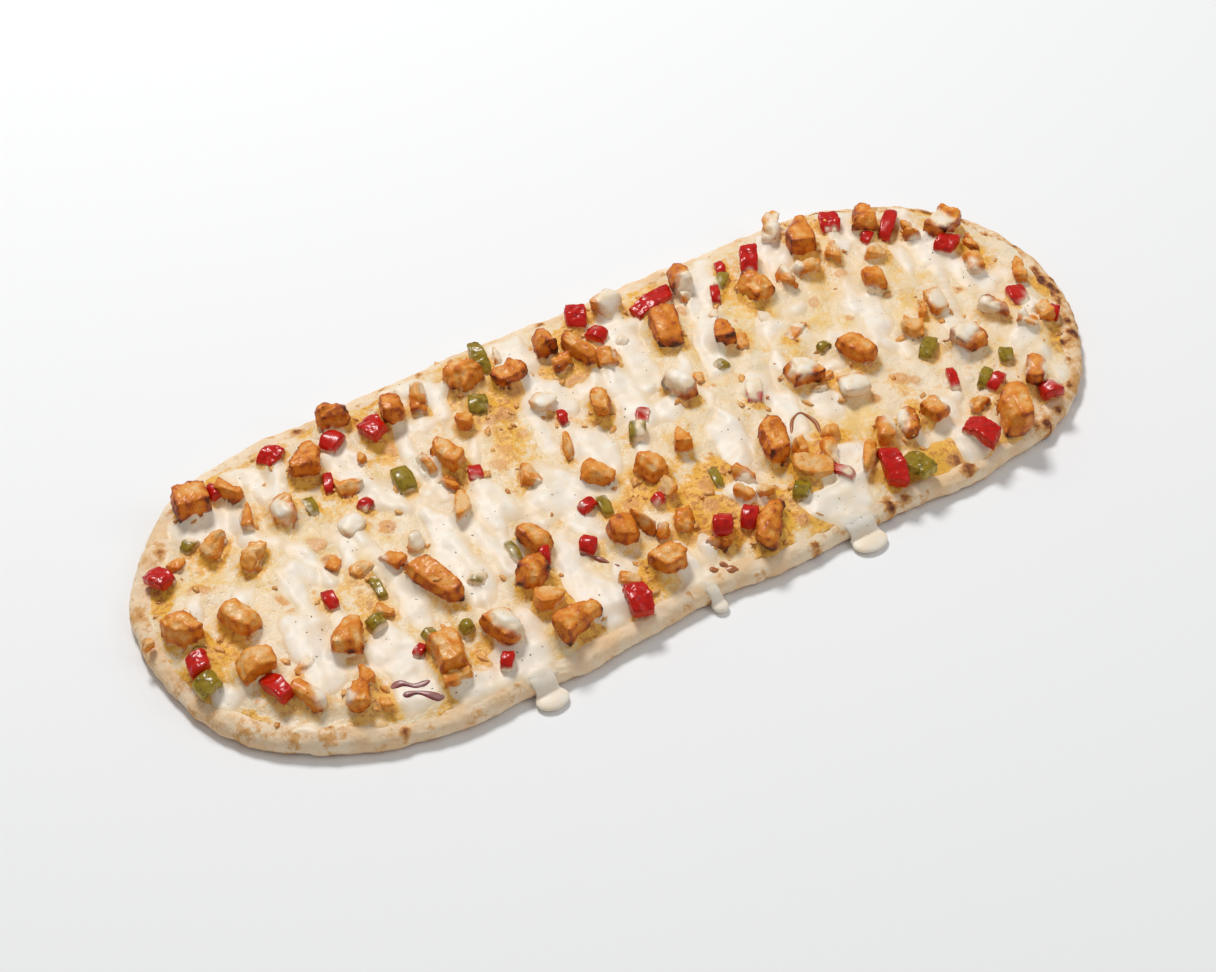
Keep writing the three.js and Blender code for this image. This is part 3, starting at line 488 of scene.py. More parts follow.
class Finish:
    """A material's node tree, built up with short calls."""

    def __init__(self, name):
        self.material = bpy.data.materials.new(name)
        self.material.use_nodes = True
        self.tree = self.material.node_tree
        self.shader = self.tree.nodes["Principled BSDF"]
        self.place = self.tree.nodes.new("ShaderNodeTexCoord").outputs["Object"]

    def link(self, value, socket):
        if isinstance(value, bpy.types.NodeSocket):
            self.tree.links.new(value, socket)
        elif isinstance(value, tuple) and len(value) == 3 and socket.type == "RGBA":
            socket.default_value = (*value, 1)
        else:
            socket.default_value = value

    def attribute(self, name):
        node = self.tree.nodes.new("ShaderNodeAttribute")
        node.attribute_name = name
        return node.outputs["Fac"]

    def grain(self, size, detail=3, roughness=0.55, stretch=None):
        """Noise with grains of about this size in millimetres."""
        node = self.tree.nodes.new("ShaderNodeTexNoise")
        node.inputs["Scale"].default_value = 1 / (size * MM)
        node.inputs["Detail"].default_value = detail
        node.inputs["Roughness"].default_value = roughness
        place = self.place
        if stretch:
            mapping = self.tree.nodes.new("ShaderNodeMapping")
            mapping.inputs["Scale"].default_value = stretch
            self.tree.links.new(place, mapping.inputs["Vector"])
            place = mapping.outputs["Vector"]
        self.tree.links.new(place, node.inputs["Vector"])
        return node.outputs["Fac"]

    def cells(self, size):
        """Distance from scattered points about this far apart."""
        node = self.tree.nodes.new("ShaderNodeTexVoronoi")
        node.inputs["Scale"].default_value = 1 / (size * MM)
        self.tree.links.new(self.place, node.inputs["Vector"])
        return node.outputs["Distance"]

    def maths(self, operation, first, second=0.0, clamp=False):
        node = self.tree.nodes.new("ShaderNodeMath")
        node.operation = operation
        node.use_clamp = clamp
        self.link(first, node.inputs[0])
        self.link(second, node.inputs[1])
        return node.outputs[0]

    def span(self, value, low, high, start=0.0, end=1.0):
        """A value's run from low to high, drawn out from start to end, with soft ends."""
        node = self.tree.nodes.new("ShaderNodeMapRange")
        node.interpolation_type = "SMOOTHSTEP"
        self.link(value, node.inputs["Value"])
        ends = {"From Min": low, "From Max": high, "To Min": start, "To Max": end}
        for key, number in ends.items():
            node.inputs[key].default_value = number
        return node.outputs["Result"]

    def vary(self, value, grain, low, high, reach):
        """A value pushed up and down by a grain, by this much at most."""
        return self.maths("ADD", value, self.span(grain, low, high, -reach, reach))

    def mix(self, share, first, second):
        node = self.tree.nodes.new("ShaderNodeMix")
        node.data_type = "RGBA"
        for value, index in ((share, 0), (first, 6), (second, 7)):
            self.link(value, node.inputs[index])
        return node.outputs[2]

    def bump(self, height, distance, strength=1.0, under=None):
        """A bump normal for a relief of this many millimetres."""
        node = self.tree.nodes.new("ShaderNodeBump")
        node.inputs["Strength"].default_value = strength
        node.inputs["Distance"].default_value = distance * MM
        self.link(height, node.inputs["Height"])
        if under is not None:
            self.link(under, node.inputs["Normal"])
        return node.outputs["Normal"]

    def surface(self, **inputs):
        for key, value in inputs.items():
            self.link(value, self.shader.inputs[key.replace("_", " ")])
        return self.material

    def translucency(self, weight, radius, scale):
        self.shader.inputs["Subsurface Weight"].default_value = weight
        self.shader.inputs["Subsurface Radius"].default_value = radius
        self.shader.inputs["Subsurface Scale"].default_value = scale * MM


SAUCE_WHITE = (0.88, 0.77, 0.60)


def crust_finish():
    """Thin baked dough: pale and floury, tan where it bakes and brown on its bubbles."""
    f = Finish("baked_crust")
    toast = f.attribute("toast")
    broad = f.grain(11, detail=3)
    mottle = f.grain(2.6, detail=4, roughness=0.65)
    fine = f.grain(0.9, detail=4, roughness=0.65)
    flour = f.mix(f.span(broad, 0.35, 0.65), (0.89, 0.71, 0.50), (0.85, 0.58, 0.33))
    spread = f.vary(toast, mottle, 0.3, 0.7, 0.22)
    spread = f.vary(spread, fine, 0.3, 0.7, 0.09)
    tan = f.mix(f.span(spread, 0.16, 0.60), flour, (0.68, 0.35, 0.115))
    brown = f.mix(f.span(spread, 0.58, 0.95), tan, (0.38, 0.13, 0.035))
    dark = f.mix(f.span(spread, 0.95, 1.35), brown, (0.12, 0.032, 0.012))
    pores = f.bump(f.cells(1.5), 0.16, 0.6)
    skin = f.bump(mottle, 0.40, 0.8, under=f.bump(fine, 0.16, 0.8, under=pores))
    rough = f.span(fine, 0.2, 0.8, 0.6, 0.8)
    return f.surface(Base_Color=dark, Roughness=rough, Normal=skin, Specular_IOR_Level=0.3)


def cheese_finish():
    """Melted cheese: cream to yellow, orange fat with browned crumbs that also serves as painted
    shade by the toppings, and golden bubbles.
    """
    f = Finish("melted_cheese")
    broad = f.grain(7, detail=3)
    mottle = f.grain(2.3, detail=4, roughness=0.6)
    fine = f.grain(0.8, detail=3)
    milk = f.attribute("milk")
    yellow = f.vary(f.attribute("yellow"), broad, 0.3, 0.7, 0.45)
    yellow = f.vary(yellow, mottle, 0.3, 0.7, 0.25)
    pale = f.mix(f.span(yellow, 0, 1), (0.87, 0.69, 0.45), (0.85, 0.57, 0.20))
    # Fat that has run out, and painted shade on the near side of toppings.
    grease = f.attribute("grease")
    greased = f.vary(grease, mottle, 0.3, 0.7, 0.30)
    oily = f.mix(f.span(greased, 0.15, 0.75), pale, (0.86, 0.45, 0.045))
    crumbs = f.maths("MULTIPLY", f.span(mottle, 0.48, 0.62), f.span(grease, 0.35, 1.0))
    rusty = f.mix(f.maths("MULTIPLY", crumbs, 0.75), oily, (0.52, 0.165, 0.018))
    specks = f.maths("MULTIPLY", f.span(f.cells(3.1), 0.16, 0.10), 0.6)
    flecked = f.mix(specks, rusty, (0.55, 0.27, 0.07))
    gold = f.vary(f.attribute("gold"), fine, 0.3, 0.7, 0.14)
    golden = f.mix(f.span(gold, 0.12, 0.55), flecked, (0.74, 0.34, 0.075))
    browned = f.mix(f.span(gold, 0.60, 1.05), golden, (0.34, 0.105, 0.022))
    milky = f.mix(f.maths("MULTIPLY", milk, 0.6), browned, (0.88, 0.75, 0.57))
    skin = f.bump(mottle, 0.60, 1.0, under=f.bump(fine, 0.20, 0.9))
    f.translucency(0.12, (1.0, 0.6, 0.3), 1.2)
    rough = f.span(mottle, 0.3, 0.7, 0.28, 0.48)
    return f.surface(Base_Color=milky, Roughness=rough, Normal=skin, Specular_IOR_Level=0.45)


def sauce_finish():
    """Thick white sauce with tiny herb crumbs, cream where it thins out."""
    f = Finish("white_sauce")
    mottle = f.grain(7, detail=3)
    crumbs = f.span(f.cells(2.9), 0.05, 0.10)
    white = f.mix(f.span(mottle, 0.3, 0.7), (0.90, 0.82, 0.70), (0.89, 0.75, 0.57))
    thin = f.mix(f.span(f.attribute("thick"), 0.0, 0.9), (0.86, 0.66, 0.42), white)
    specked = f.mix(crumbs, (0.42, 0.36, 0.22), thin)
    f.translucency(0.15, (1.0, 0.8, 0.6), 1.2)
    skin = f.bump(f.grain(2.6, detail=3), 0.22, 0.6)
    return f.surface(Base_Color=specked, Roughness=0.47, Normal=skin)


def chicken_finish():
    """Roast chicken: pale flesh, golden skin, brown edges, painted shade on its sides, undersides
    and creases, and specks of spice.
    """
    f = Finish("roast_chicken")
    fine = f.grain(0.7, detail=4, roughness=0.7)
    mottle = f.grain(2.4, detail=4)
    # This value holds browning and painted shade, so the amber and dark colours fall on sides,
    # undersides and creases.
    roast = f.vary(f.attribute("browned"), mottle, 0.25, 0.75, 0.16)
    roast = f.vary(roast, fine, 0.3, 0.7, 0.08)
    flesh = f.mix(f.span(roast, -0.20, 0.18), (0.85, 0.51, 0.21), (0.83, 0.34, 0.050))
    golden = f.mix(f.span(roast, 0.12, 0.48), flesh, (0.73, 0.205, 0.005))
    amber = f.mix(f.span(roast, 0.52, 0.85), golden, (0.45, 0.080, 0.002))
    dark = f.mix(f.span(roast, 0.86, 1.15), amber, (0.09, 0.018, 0.003))
    spice = f.maths("MULTIPLY", f.span(f.cells(1.7), 0.20, 0.12), f.span(mottle, 0.48, 0.60))
    spiced = f.mix(spice, dark, (0.15, 0.035, 0.005))
    coated = f.mix(f.attribute("film"), spiced, SAUCE_WHITE)
    grain = f.bump(mottle, 0.42, 0.8, under=f.bump(fine, 0.26, 0.9))
    rough = f.span(fine, 0.3, 0.7, 0.36, 0.55)
    return f.surface(Base_Color=coated, Roughness=rough, Normal=grain,
                     Specular_IOR_Level=0.28, Coat_Weight=0.16, Coat_Roughness=0.18)


PEPPER_TONES = {
    "red_pepper": ((0.55, 0.007, 0.001), (0.62, 0.026, 0.003), (0.36, 0.003, 0.0005)),
    "green_pepper": ((0.30, 0.19, 0.008), (0.48, 0.35, 0.05), (0.17, 0.11, 0.005)),
}


def pepper_finish(name):
    """Diced pepper: shiny skin, other-toned cut sides."""
    skin, side, deep = PEPPER_TONES[name]
    f = Finish(name)
    mottle = f.grain(2.2, detail=3)
    flesh = f.mix(f.attribute("cut"), skin, side)
    shaded = f.mix(f.span(mottle, 0.45, 0.72), flesh, deep)
    coated = f.mix(f.attribute("film"), shaded, SAUCE_WHITE)
    wax = f.bump(f.grain(2.8, detail=2), 0.25, 0.5)
    return f.surface(Base_Color=coated, Roughness=0.28, Normal=wax,
                     Specular_IOR_Level=0.22, Coat_Weight=0.17, Coat_Roughness=0.08)


def onion_finish():
    f = Finish("red_onion")
    streak = f.grain(0.8, detail=2)
    purple = f.mix(f.span(streak, 0.35, 0.65), (0.10, 0.008, 0.024), (0.32, 0.03, 0.035))
    layered = f.mix(f.attribute("core"), purple, (0.60, 0.40, 0.34))
    fried = f.mix(f.attribute("fried"), layered, (0.40, 0.13, 0.035))
    return f.surface(Base_Color=fried, Roughness=0.32)


def herb_finish():
    f = Finish("dried_herb")
    leaf = f.mix(f.grain(0.8), (0.14, 0.15, 0.07), (0.34, 0.31, 0.18))
    return f.surface(Base_Color=leaf, Roughness=0.6)


def crumb_finish():
    f = Finish("browned_crumb")
    toasted = f.mix(f.span(f.grain(5), 0.35, 0.65), (0.80, 0.42, 0.11), (0.55, 0.19, 0.03))
    return f.surface(Base_Color=toasted, Roughness=0.4)


def floor_finish():
    f = Finish("pale_floor")
    white = f.mix(f.grain(400, detail=1), (0.89, 0.89, 0.89), (0.90, 0.90, 0.90))
    return f.surface(Base_Color=white, Roughness=0.7)


# ---------- the crust ----------

def travel_of(x, y):
    """Distance along the outline, counter-clockwise from the middle of the near side."""
    spine = np.clip(x, -STRAIGHT_HALF, STRAIGHT_HALF)
    angle = np.arctan2(y, x - spine)
    right = STRAIGHT_HALF + (angle + math.pi / 2) * END_RADIUS
    left_angle = np.where(angle < 0, angle + 2 * math.pi, angle)
    left = 3 * STRAIGHT_HALF + ARC + (left_angle - math.pi / 2) * END_RADIUS
    far = STRAIGHT_HALF + ARC + (STRAIGHT_HALF - x)
    near = np.where(x < 0, PERIMETER + x, x)
    straight = np.where(y > 0, far, near)
    travel = np.where(x > STRAIGHT_HALF, right, np.where(x < -STRAIGHT_HALF, left, straight))
    return travel % PERIMETER


def outline_radius(shell):
    """How far the crust reaches from its spine, at each millimetre along the outline."""
    reach = []
    for travel in range(int(PERIMETER)):
        spine, angle = spine_at(travel)
        start = Vector((spine, 0, WAIST_HEIGHT))
        hit = shell.ray_cast(start, Vector((math.cos(angle), math.sin(angle), 0)))
        reach.append(hit[3] if hit[3] else END_RADIUS)
    return np.array(reach)


def spine_at(travel):
    """The point on the spine and the way out of it, at a distance along the outline."""
    if travel < STRAIGHT_HALF:
        return travel, -math.pi / 2
    past = travel - STRAIGHT_HALF
    if past < ARC:
        return STRAIGHT_HALF, -math.pi / 2 + past / END_RADIUS
    past -= ARC
    if past < 2 * STRAIGHT_HALF:
        return STRAIGHT_HALF - past, math.pi / 2
    past -= 2 * STRAIGHT_HALF
    if past < ARC:
        return -STRAIGHT_HALF, math.pi / 2 + past / END_RADIUS
    return -STRAIGHT_HALF + past - ARC, -math.pi / 2


def tree_of(objects):
    """A ray tree of several objects' meshes, in millimetres."""
    points, faces, count = [], [], 0
    for piece in objects:
        own = points_of(piece.data)
        points.extend(own.tolist())
        faces.extend([i + count for i in p.vertices] for p in piece.data.polygons)
        count += len(own)
    return BVHTree.FromPolygons(points, faces)


def heights_over(shell, wanted):
    """The height of a shell's top over the grid points that are wanted, and 0 elsewhere."""
    heights = np.zeros(AT_X.shape)
    down = Vector((0, 0, -1))
    for i, j in zip(*np.nonzero(wanted)):
        hit = shell.ray_cast(Vector((GRID_X[i], GRID_Y[j], 60)), down)
        if hit[0] is not None:
            heights[i, j] = hit[0].z
    return heights


def toast_spots(random):
    """Browned spots on the rim: middle, reach and strength. The right end has most."""
    spots = list(RIM_SPOTS)
    for _ in range(RIM_SPOT_TRIES):
        travel = random.uniform(0, PERIMETER)
        spine, angle = spine_at(travel)
        right = soft_step(60, 200, spine + END_RADIUS * math.cos(angle))
        if random.uniform() > 0.3 + 0.7 * right:
            continue
        reach = END_RADIUS - random.uniform(0.5, 9)
        size = random.uniform(0.8, 2.2) + 0.6 * right
        place = (spine + reach * math.cos(angle), reach * math.sin(angle))
        spots.append((*place, size, random.uniform(0.15, 0.5) + 0.3 * right))
    return spots


def make_crust():
    crust = merged_copy("crust", "baked_crust")
    reworked(crust.data, lambda shell: bmesh.ops.join_triangles(
        shell, faces=shell.faces, angle_face_threshold=0.7, angle_shape_threshold=3.1))
    finer = crust.modifiers.new("rounder", "SUBSURF")
    finer.levels = finer.render_levels = 3
    settle_modifiers(crust)
    mesh = crust.data
    points, normals = points_of(mesh), normals_of(mesh)
    random = np.random.default_rng(31)
    near_rim = np.hypot(points[:, 0] - np.clip(points[:, 0], -STRAIGHT_HALF, STRAIGHT_HALF),
                        points[:, 1]) > END_RADIUS - 18
    relief = np.zeros(len(points))
    toast = np.zeros(len(points))
    shown = np.nonzero(near_rim)[0]
    rim = points[shown]
    relief[shown] = 0.8 * fractal(rim, 16) + 0.5 * fractal(rim + 40, 6) + 0.2 * fractal(rim, 2.4)
    baked = 0.30 * soft_step(110, 195, rim[:, 0]) + 0.12 * soft_step(-150, -200, rim[:, 0])
    toast[shown] = 0.10 + 0.30 * fractal(rim + 90, 6) + baked
    ragged = 1 + 0.45 * fractal(rim, 3)
    for x, y, size, strength in toast_spots(random):
        away = np.hypot(rim[:, 0] - x, rim[:, 1] - y) / (0.72 * size) * ragged
        spot = np.exp(-away ** 2.2)
        toast[shown] += strength * spot
        relief[shown] += 0.5 * strength * spot
    level = soft_step(0.2, 1.5, points[:, 2])
    points += normals * (relief * level)[:, None]
    points[:, 2] = np.maximum(points[:, 2], 0)
    set_points(mesh, points)
    # Darker towards the crust's foot, within 2.6 mm of the floor.
    under = 0.30 * (1 - soft_step(0.4, 2.6, points[:, 2]))
    set_value(mesh, "toast", np.clip(toast + under, 0, 1.3))
    return crust


# ---------- the toppings ----------

def lobes(points, middle, size, cut, random):
    """Creases between the lobes of meat, and how deep each point lies in one."""
    count = CUTS[cut]["lobes"]
    seeds = middle + random.uniform(-0.5, 0.5, (count, 3)) * size
    away = np.sort(np.linalg.norm(points[:, None, :] - seeds[None], axis=2), axis=1)
    gap = (away[:, 1] - away[:, 0]) / 1.1
    return np.exp(-gap ** 2)


def roast(points, normals, middle, size, cut, random):
    """Relief of a piece of roast chicken, and its browning with painted shade: darker in creases,
    hollows, sides and undersides.
    """
    creases = lobes(points, middle, size, cut, random)
    drift = random.uniform(-500, 500, 3)
    coarse = fractal(points + drift, 5.5)
    knobs = fractal(points - drift, 2.4)
    fibres = fractal(points * (0.5, 1, 1) + drift, 0.9)
    craggy = random.uniform(0.5, 1.4)
    relief = -CUTS[cut]["crease"] * creases + 0.80 * coarse + 0.50 * knobs + 0.18 * fibres
    relief *= craggy
    relief *= min(1, max(size) / 10)
    tone = random.uniform(0.08, 0.50)
    # Browning with painted shade: darker in the creases and where the knobs sink, lighter where they
    # stand out.
    browned = tone + 0.42 * fractal(points + drift * 0.7, 6) + 0.10 * creases - 0.20 * knobs
    # Painted shade: the sides and undersides come out darker and the top lighter, by the way each
    # point faces.
    return relief, browned + 0.14 - 0.34 * normals[:, 2]


def cut_of(size):
    """The knife cut that a CAD piece looks most like, by its proportions."""
    length, width = max(size[:2]), min(size[:2])
    return "cube" if length < 1.35 * width else "lump"


def make_chicken(node, random):
    """One free-standing piece of roast chicken, grown from its CAD solid."""
    piece = merged_copy(node, "roast_" + node)
    remeshed(piece, CHICKEN_VOXEL, 1)
    mesh = piece.data
    points, normals = points_of(mesh), normals_of(mesh)
    low, high = points.min(0), points.max(0)
    relief, browned = roast(
        points, normals, (low + high) / 2, high - low, cut_of(high - low), random
    )
    set_points(mesh, points + normals * (relief - 0.05)[:, None])
    edges = over_neighbours(mesh, bulge(mesh), 3)
    # Browning and painted shade from roast(), with the outstanding edges browned further.
    set_value(mesh, "browned", browned + np.clip(edges * 7, -0.12, 0.50))
    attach(piece, "root")
    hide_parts(node)
    return piece


def knifed(points, cut, random):
    """The unit block cut as the larger pieces are: rounded, sliced and narrowed."""
    shape = CUTS[cut]
    round_share = shape["round"]
    made = points * (1 - round_share) + unit(points) * round_share
    for _ in range(shape["faces"]):
        way = random.standard_normal(3)
        way /= np.linalg.norm(way)
        past = np.maximum(made @ way - random.uniform(0.5, 0.85), 0)
        made -= 0.9 * past[:, None] * way
    slim = 1 - shape["taper"] * (made[:, 0] + 1) / 2
    made[:, 1] *= slim
    made[:, 2] = (made[:, 2] + 1) * (0.4 + 0.6 * slim) - 1
    return made


def fitted(points, size):
    """Points stretched to a length, width and height about their middle."""
    low, high = points.min(0), points.max(0)
    return (points - (low + high) / 2) * (np.array(size) / (high - low))


def turned(points, degrees, axis):
    """Points turned about an axis, 0 for X, 1 for Y and 2 for Z."""
    angle = math.radians(degrees)
    first, second = [(1, 2), (2, 0), (0, 1)][axis]
    made = points.copy()
    made[:, first] = points[:, first] * math.cos(angle) - points[:, second] * math.sin(angle)
    made[:, second] = points[:, first] * math.sin(angle) + points[:, second] * math.cos(angle)
    return made


def outward(points, middle, size):
    """Ways out of a rounded block, near enough to its normals for a light relief."""
    return unit((points - middle) / np.array(size) ** 2)


def seated(points, x, y):
    """Points put down at x, y with their lowest point on the seat."""
    low, high = points.min(0), points.max(0)
    return points + np.array([x - (low[0] + high[0]) / 2, y - (low[1] + high[1]) / 2,
                              SEAT_HEIGHT - low[2]])


def small_chicken(rows, random):
    heap = Heap()
    block, faces = unit_block(9)
    for x, y, length, width, height, turn, *named in rows:
        cut = named[0] if named else "lump"
        size = (length, width, height)
        shape = fitted(knifed(block, cut, random), size)
        normals = outward(shape, 0, size)
        relief, browned = roast(shape, normals, 0, np.array(size), cut, random)
        shape = shape + normals * (1.15 * relief)[:, None]
        corner = np.clip(np.linalg.norm(shape / np.array(size), axis=1) - 0.5, -0.15, 0.25)
        # Browning and painted shade from roast(), with the outer corners browned further.
        heap.add(seated(turned(shape, turn, 2), x, y), faces, browned=browned + 0.9 * corner)
    return heap


def make_pepper(node, random):
    """One free-standing dice of pepper, grown from its CAD solid."""
    piece = merged_copy(node, "diced_" + node)
    remeshed(piece, PEPPER_VOXEL, 3)
    mesh = piece.data
    points, normals = points_of(mesh), normals_of(mesh)
    drift = random.uniform(-500, 500, 3)
    relief = 0.55 * fractal(points + drift, 4.5) + 0.20 * fractal(points - drift, 1.6)
    set_points(mesh, points + normals * (relief - 0.1)[:, None])
    set_value(mesh, "cut", 1 - soft_step(0.45, 0.8, normals[:, 2] + 0.2 * fractal(points, 3)))
    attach(piece, "root")
    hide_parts(node)
    return piece


def small_pepper(rows, random):
    heap = Heap()
    block, faces = unit_block(6)
    for x, y, length, width, height, turn, tilt in rows:
        arch = random.uniform(0.35, 0.55)
        skew = random.uniform(-0.15, 0.15)
        shape = block * 0.72 + unit(block) * 0.28
        top = shape[:, 2] > 0.5
        shape[:, 1] = shape[:, 1] * (1 - 0.16 * shape[:, 0] ** 2) + skew * shape[:, 0]
        shape[:, 2] = 0.6 * shape[:, 2] + arch * (1 - shape[:, 0] ** 2)
        shape = fitted(shape, (length, width, height))
        shape += outward(shape, 0, (length, width, height)) * (
            0.55 * fractal(shape + random.uniform(-500, 500, 3), 3.0)
        )[:, None]
        shape = turned(turned(shape, -tilt, 1), turn, 2)
        heap.add(seated(shape, x, y), faces, cut=np.where(top, 0.1, 0.9))
    return heap


def ribbon(path, width, height, random, sides=10, rings=40):
    """A strip with a rounded section along a curve through some points on the cheese."""
    line, ahead = curve_through(np.array(path, float), rings)
    aside = np.stack([-ahead[:, 1], ahead[:, 0]], axis=1)
    share = np.linspace(-1, 1, rings)
    thick = np.sqrt(np.maximum(1 - share ** 6, 0.02))
    thick *= 0.8 + 0.3 * np.sin(share * random.uniform(4, 7) + random.uniform(0, 6))
    dip = 0.35 * np.sin(share * random.uniform(3, 5) + random.uniform(0, 6)) + 0.25
    points, core = [], []
    for i in range(rings):
        for k in range(sides):
            turn = 2 * math.pi * k / sides
            across = math.cos(turn) * width / 2 * thick[i]
            up = math.sin(turn) * height * thick[i]
            points.append((*(line[i] + aside[i] * across), CHEESE_HEIGHT + 0.5 + up + dip[i]))
            core.append(1.0 if abs(math.cos(turn)) < 0.5 else 0.0)
    return np.array(points), tube_faces(rings, sides), np.array(core)


def catmull(knots, steps):
    """A smooth curve through evenly spaced knots, read at steps counted in knots."""
    padded = np.concatenate([[2 * knots[0] - knots[1]], knots, [2 * knots[-1] - knots[-2]]])
    i = np.minimum(steps.astype(int), len(knots) - 2)
    t = steps - i
    a, b, c, d = (padded[i + k] for k in range(4))
    return 0.5 * (2 * b + (c - a) * t + (2 * a - 5 * b + 4 * c - d) * t ** 2
                  + (3 * b - a - 3 * c + d) * t ** 3)


def curve_through(knots, rings):
    """Points along a smooth curve through knots, and the way ahead at each."""
    steps = np.linspace(0, len(knots) - 1, rings)
    line = np.stack([catmull(column, steps) for column in knots.T], axis=1)
    return line, unit(np.gradient(line, axis=0))


def tube_faces(rings, sides):
    """Quads along a tube of rings of points, and a flat face on each end."""
    faces = []
    for i in range(rings - 1):
        for k in range(sides):
            other = (k + 1) % sides
            faces.append((i * sides + k, i * sides + other, (i + 1) * sides + other,
                          (i + 1) * sides + k))
    faces.append(tuple(range(sides))[::-1])
    faces.append(tuple((rings - 1) * sides + k for k in range(sides)))
    return faces


def make_onion(random):
    heap = Heap()
    for path, width, height, fried in ONION_STRIPS:
        points, faces, core = ribbon(path, width, height, random)
        heap.add(points, faces, core=core * random.uniform(0.2, 0.6), fried=fried)
    return heap.build("onion_strips")


# ---------- cheese and sauce ----------

def stroke_depth(start, end, width, bow, random):
    """How far inside a stroke of sauce each grid point lies, negative outside."""
    start, end = np.array(start, float), np.array(end, float)
    aside = np.array([start[1] - end[1], end[0] - start[0]])
    aside /= np.linalg.norm(aside)
    bend = (start + end) / 2 + 2 * bow * aside
    share = np.linspace(0, 1, 28)
    line = (np.outer((1 - share) ** 2, start) + np.outer(2 * share * (1 - share), bend)
            + np.outer(share ** 2, end))
    uneven = 1 + 0.20 * np.sin(share * random.uniform(6, 11) + random.uniform(0, 6))
    half = width / 2 * uneven * (1 - 0.35 * np.abs(2 * share - 1) ** 3)
    return disc_depth(line, half)


def disc_depth(line, half):
    """The depth inside a chain of discs, worked out only near them."""
    depth = np.full(AT_X.shape, FAR_OUTSIDE)
    margin = half.max() + 6
    low, high = line.min(0) - margin, line.max(0) + margin
    i0, i1 = np.searchsorted(GRID_X, (low[0], high[0]))
    j0, j1 = np.searchsorted(GRID_Y, (low[1], high[1]))
    near_x, near_y = AT_X[i0:i1, j0:j1], AT_Y[i0:i1, j0:j1]
    best = np.full(near_x.shape, FAR_OUTSIDE)
    for (x, y), reach in zip(line, half):
        best = np.maximum(best, reach - np.hypot(near_x - x, near_y - y))
    depth[i0:i1, j0:j1] = best
    return depth


def oval_distance(x, y, along, across, turn):
    """Distance from the middle of an oval in its own sizes: 1 on its edge."""
    angle = math.radians(turn)
    ahead = (AT_X - x) * math.cos(angle) + (AT_Y - y) * math.sin(angle)
    aside = (AT_Y - y) * math.cos(angle) - (AT_X - x) * math.sin(angle)
    return np.hypot(ahead / along, aside / across)


def dab_depth(x, y, along, across, turn):
    """How far inside an oval each grid point lies, negative outside."""
    inside = 1 - oval_distance(x, y, along, across, turn)
    return np.maximum(inside * min(along, across), FAR_OUTSIDE)


def joined_depth(depths, softness=0.8):
    """Several depths as one, with a soft fillet where they meet."""
    total = np.full(AT_X.shape, FAR_OUTSIDE / softness)
    for depth in depths:
        total = np.logaddexp(total, depth / softness)
    return total * softness


def rounded(depth, rise, reach):
    """The height of a rounded edge at a depth inside it, just below 0 outside."""
    share = np.clip((depth + 0.8) / reach, 0, 1)
    return (rise + SAUCE_SINK) * np.sin(math.pi / 2 * share) - SAUCE_SINK


def sauce_depth(random):
    """How far inside the sauce each grid point lies, before its edges fray."""
    pools = list(SAUCE_POOLS)
    for _ in range(SMALL_POOL_COUNT):
        x, y = random.uniform(-175, 175), random.uniform(-66, 66)
        pools.append((x, y, random.uniform(3, 7), random.uniform(2, 4), random.uniform(60, 90)))
    depths = [stroke_depth(*row, random) for row in SAUCE_STROKES]
    depths += [dab_depth(*row) for row in pools]
    return joined_depth(depths, 1.2)


def without_corners(cell):
    """Grid cells that are kept, filled in where two touch only at a corner."""
    cell = cell.copy()
    for _ in range(6):
        a, b, c, d = cell[:-1, :-1], cell[1:, :-1], cell[:-1, 1:], cell[1:, 1:]
        touch = (a & d & ~b & ~c) | (b & c & ~a & ~d)
        for part in (a, b, c, d):
            part |= touch
    return cell


def sheet_mesh(name, kept, top, bottom, values):
    """A closed sheet over the kept grid cells, its flat underside in few faces."""
    cell = without_corners(kept[:-1, :-1] & kept[1:, :-1] & kept[:-1, 1:] & kept[1:, 1:])
    i, j = np.nonzero(cell)
    corners = np.stack([np.stack([i, j], 1), np.stack([i + 1, j], 1),
                        np.stack([i + 1, j + 1], 1), np.stack([i, j + 1], 1)], axis=1)
    width = AT_X.shape[1]
    ids = corners[..., 0] * width + corners[..., 1]
    used, local = np.unique(ids, return_inverse=True)
    local = local.reshape(ids.shape)
    x, y = AT_X.ravel()[used], AT_Y.ravel()[used]
    upper = np.stack([x, y, top.ravel()[used]], 1)
    lower = np.stack([x, y, bottom.ravel()[used]], 1)
    count = len(used)
    edges = {}
    for quad in local.tolist():
        for k in range(4):
            edge = (quad[k], quad[(k + 1) % 4])
            if edge[::-1] in edges:
                del edges[edge[::-1]]
            else:
                edges[edge] = True
    faces = local.tolist()
    faces += [[b, a, a + count, b + count] for a, b in edges]
    faces += (local[:, ::-1] + count).tolist()
    spread = {key: np.tile(field.ravel()[used], 2) for key, field in values.items()}
    sheet = mesh_object(name, np.concatenate([upper, lower]), faces, spread)
    reworked(sheet.data, lambda shell: bmesh.ops.dissolve_faces(
        shell, faces=[f for f in shell.faces if f.normal.z < -0.9999], use_verts=False))
    return sheet


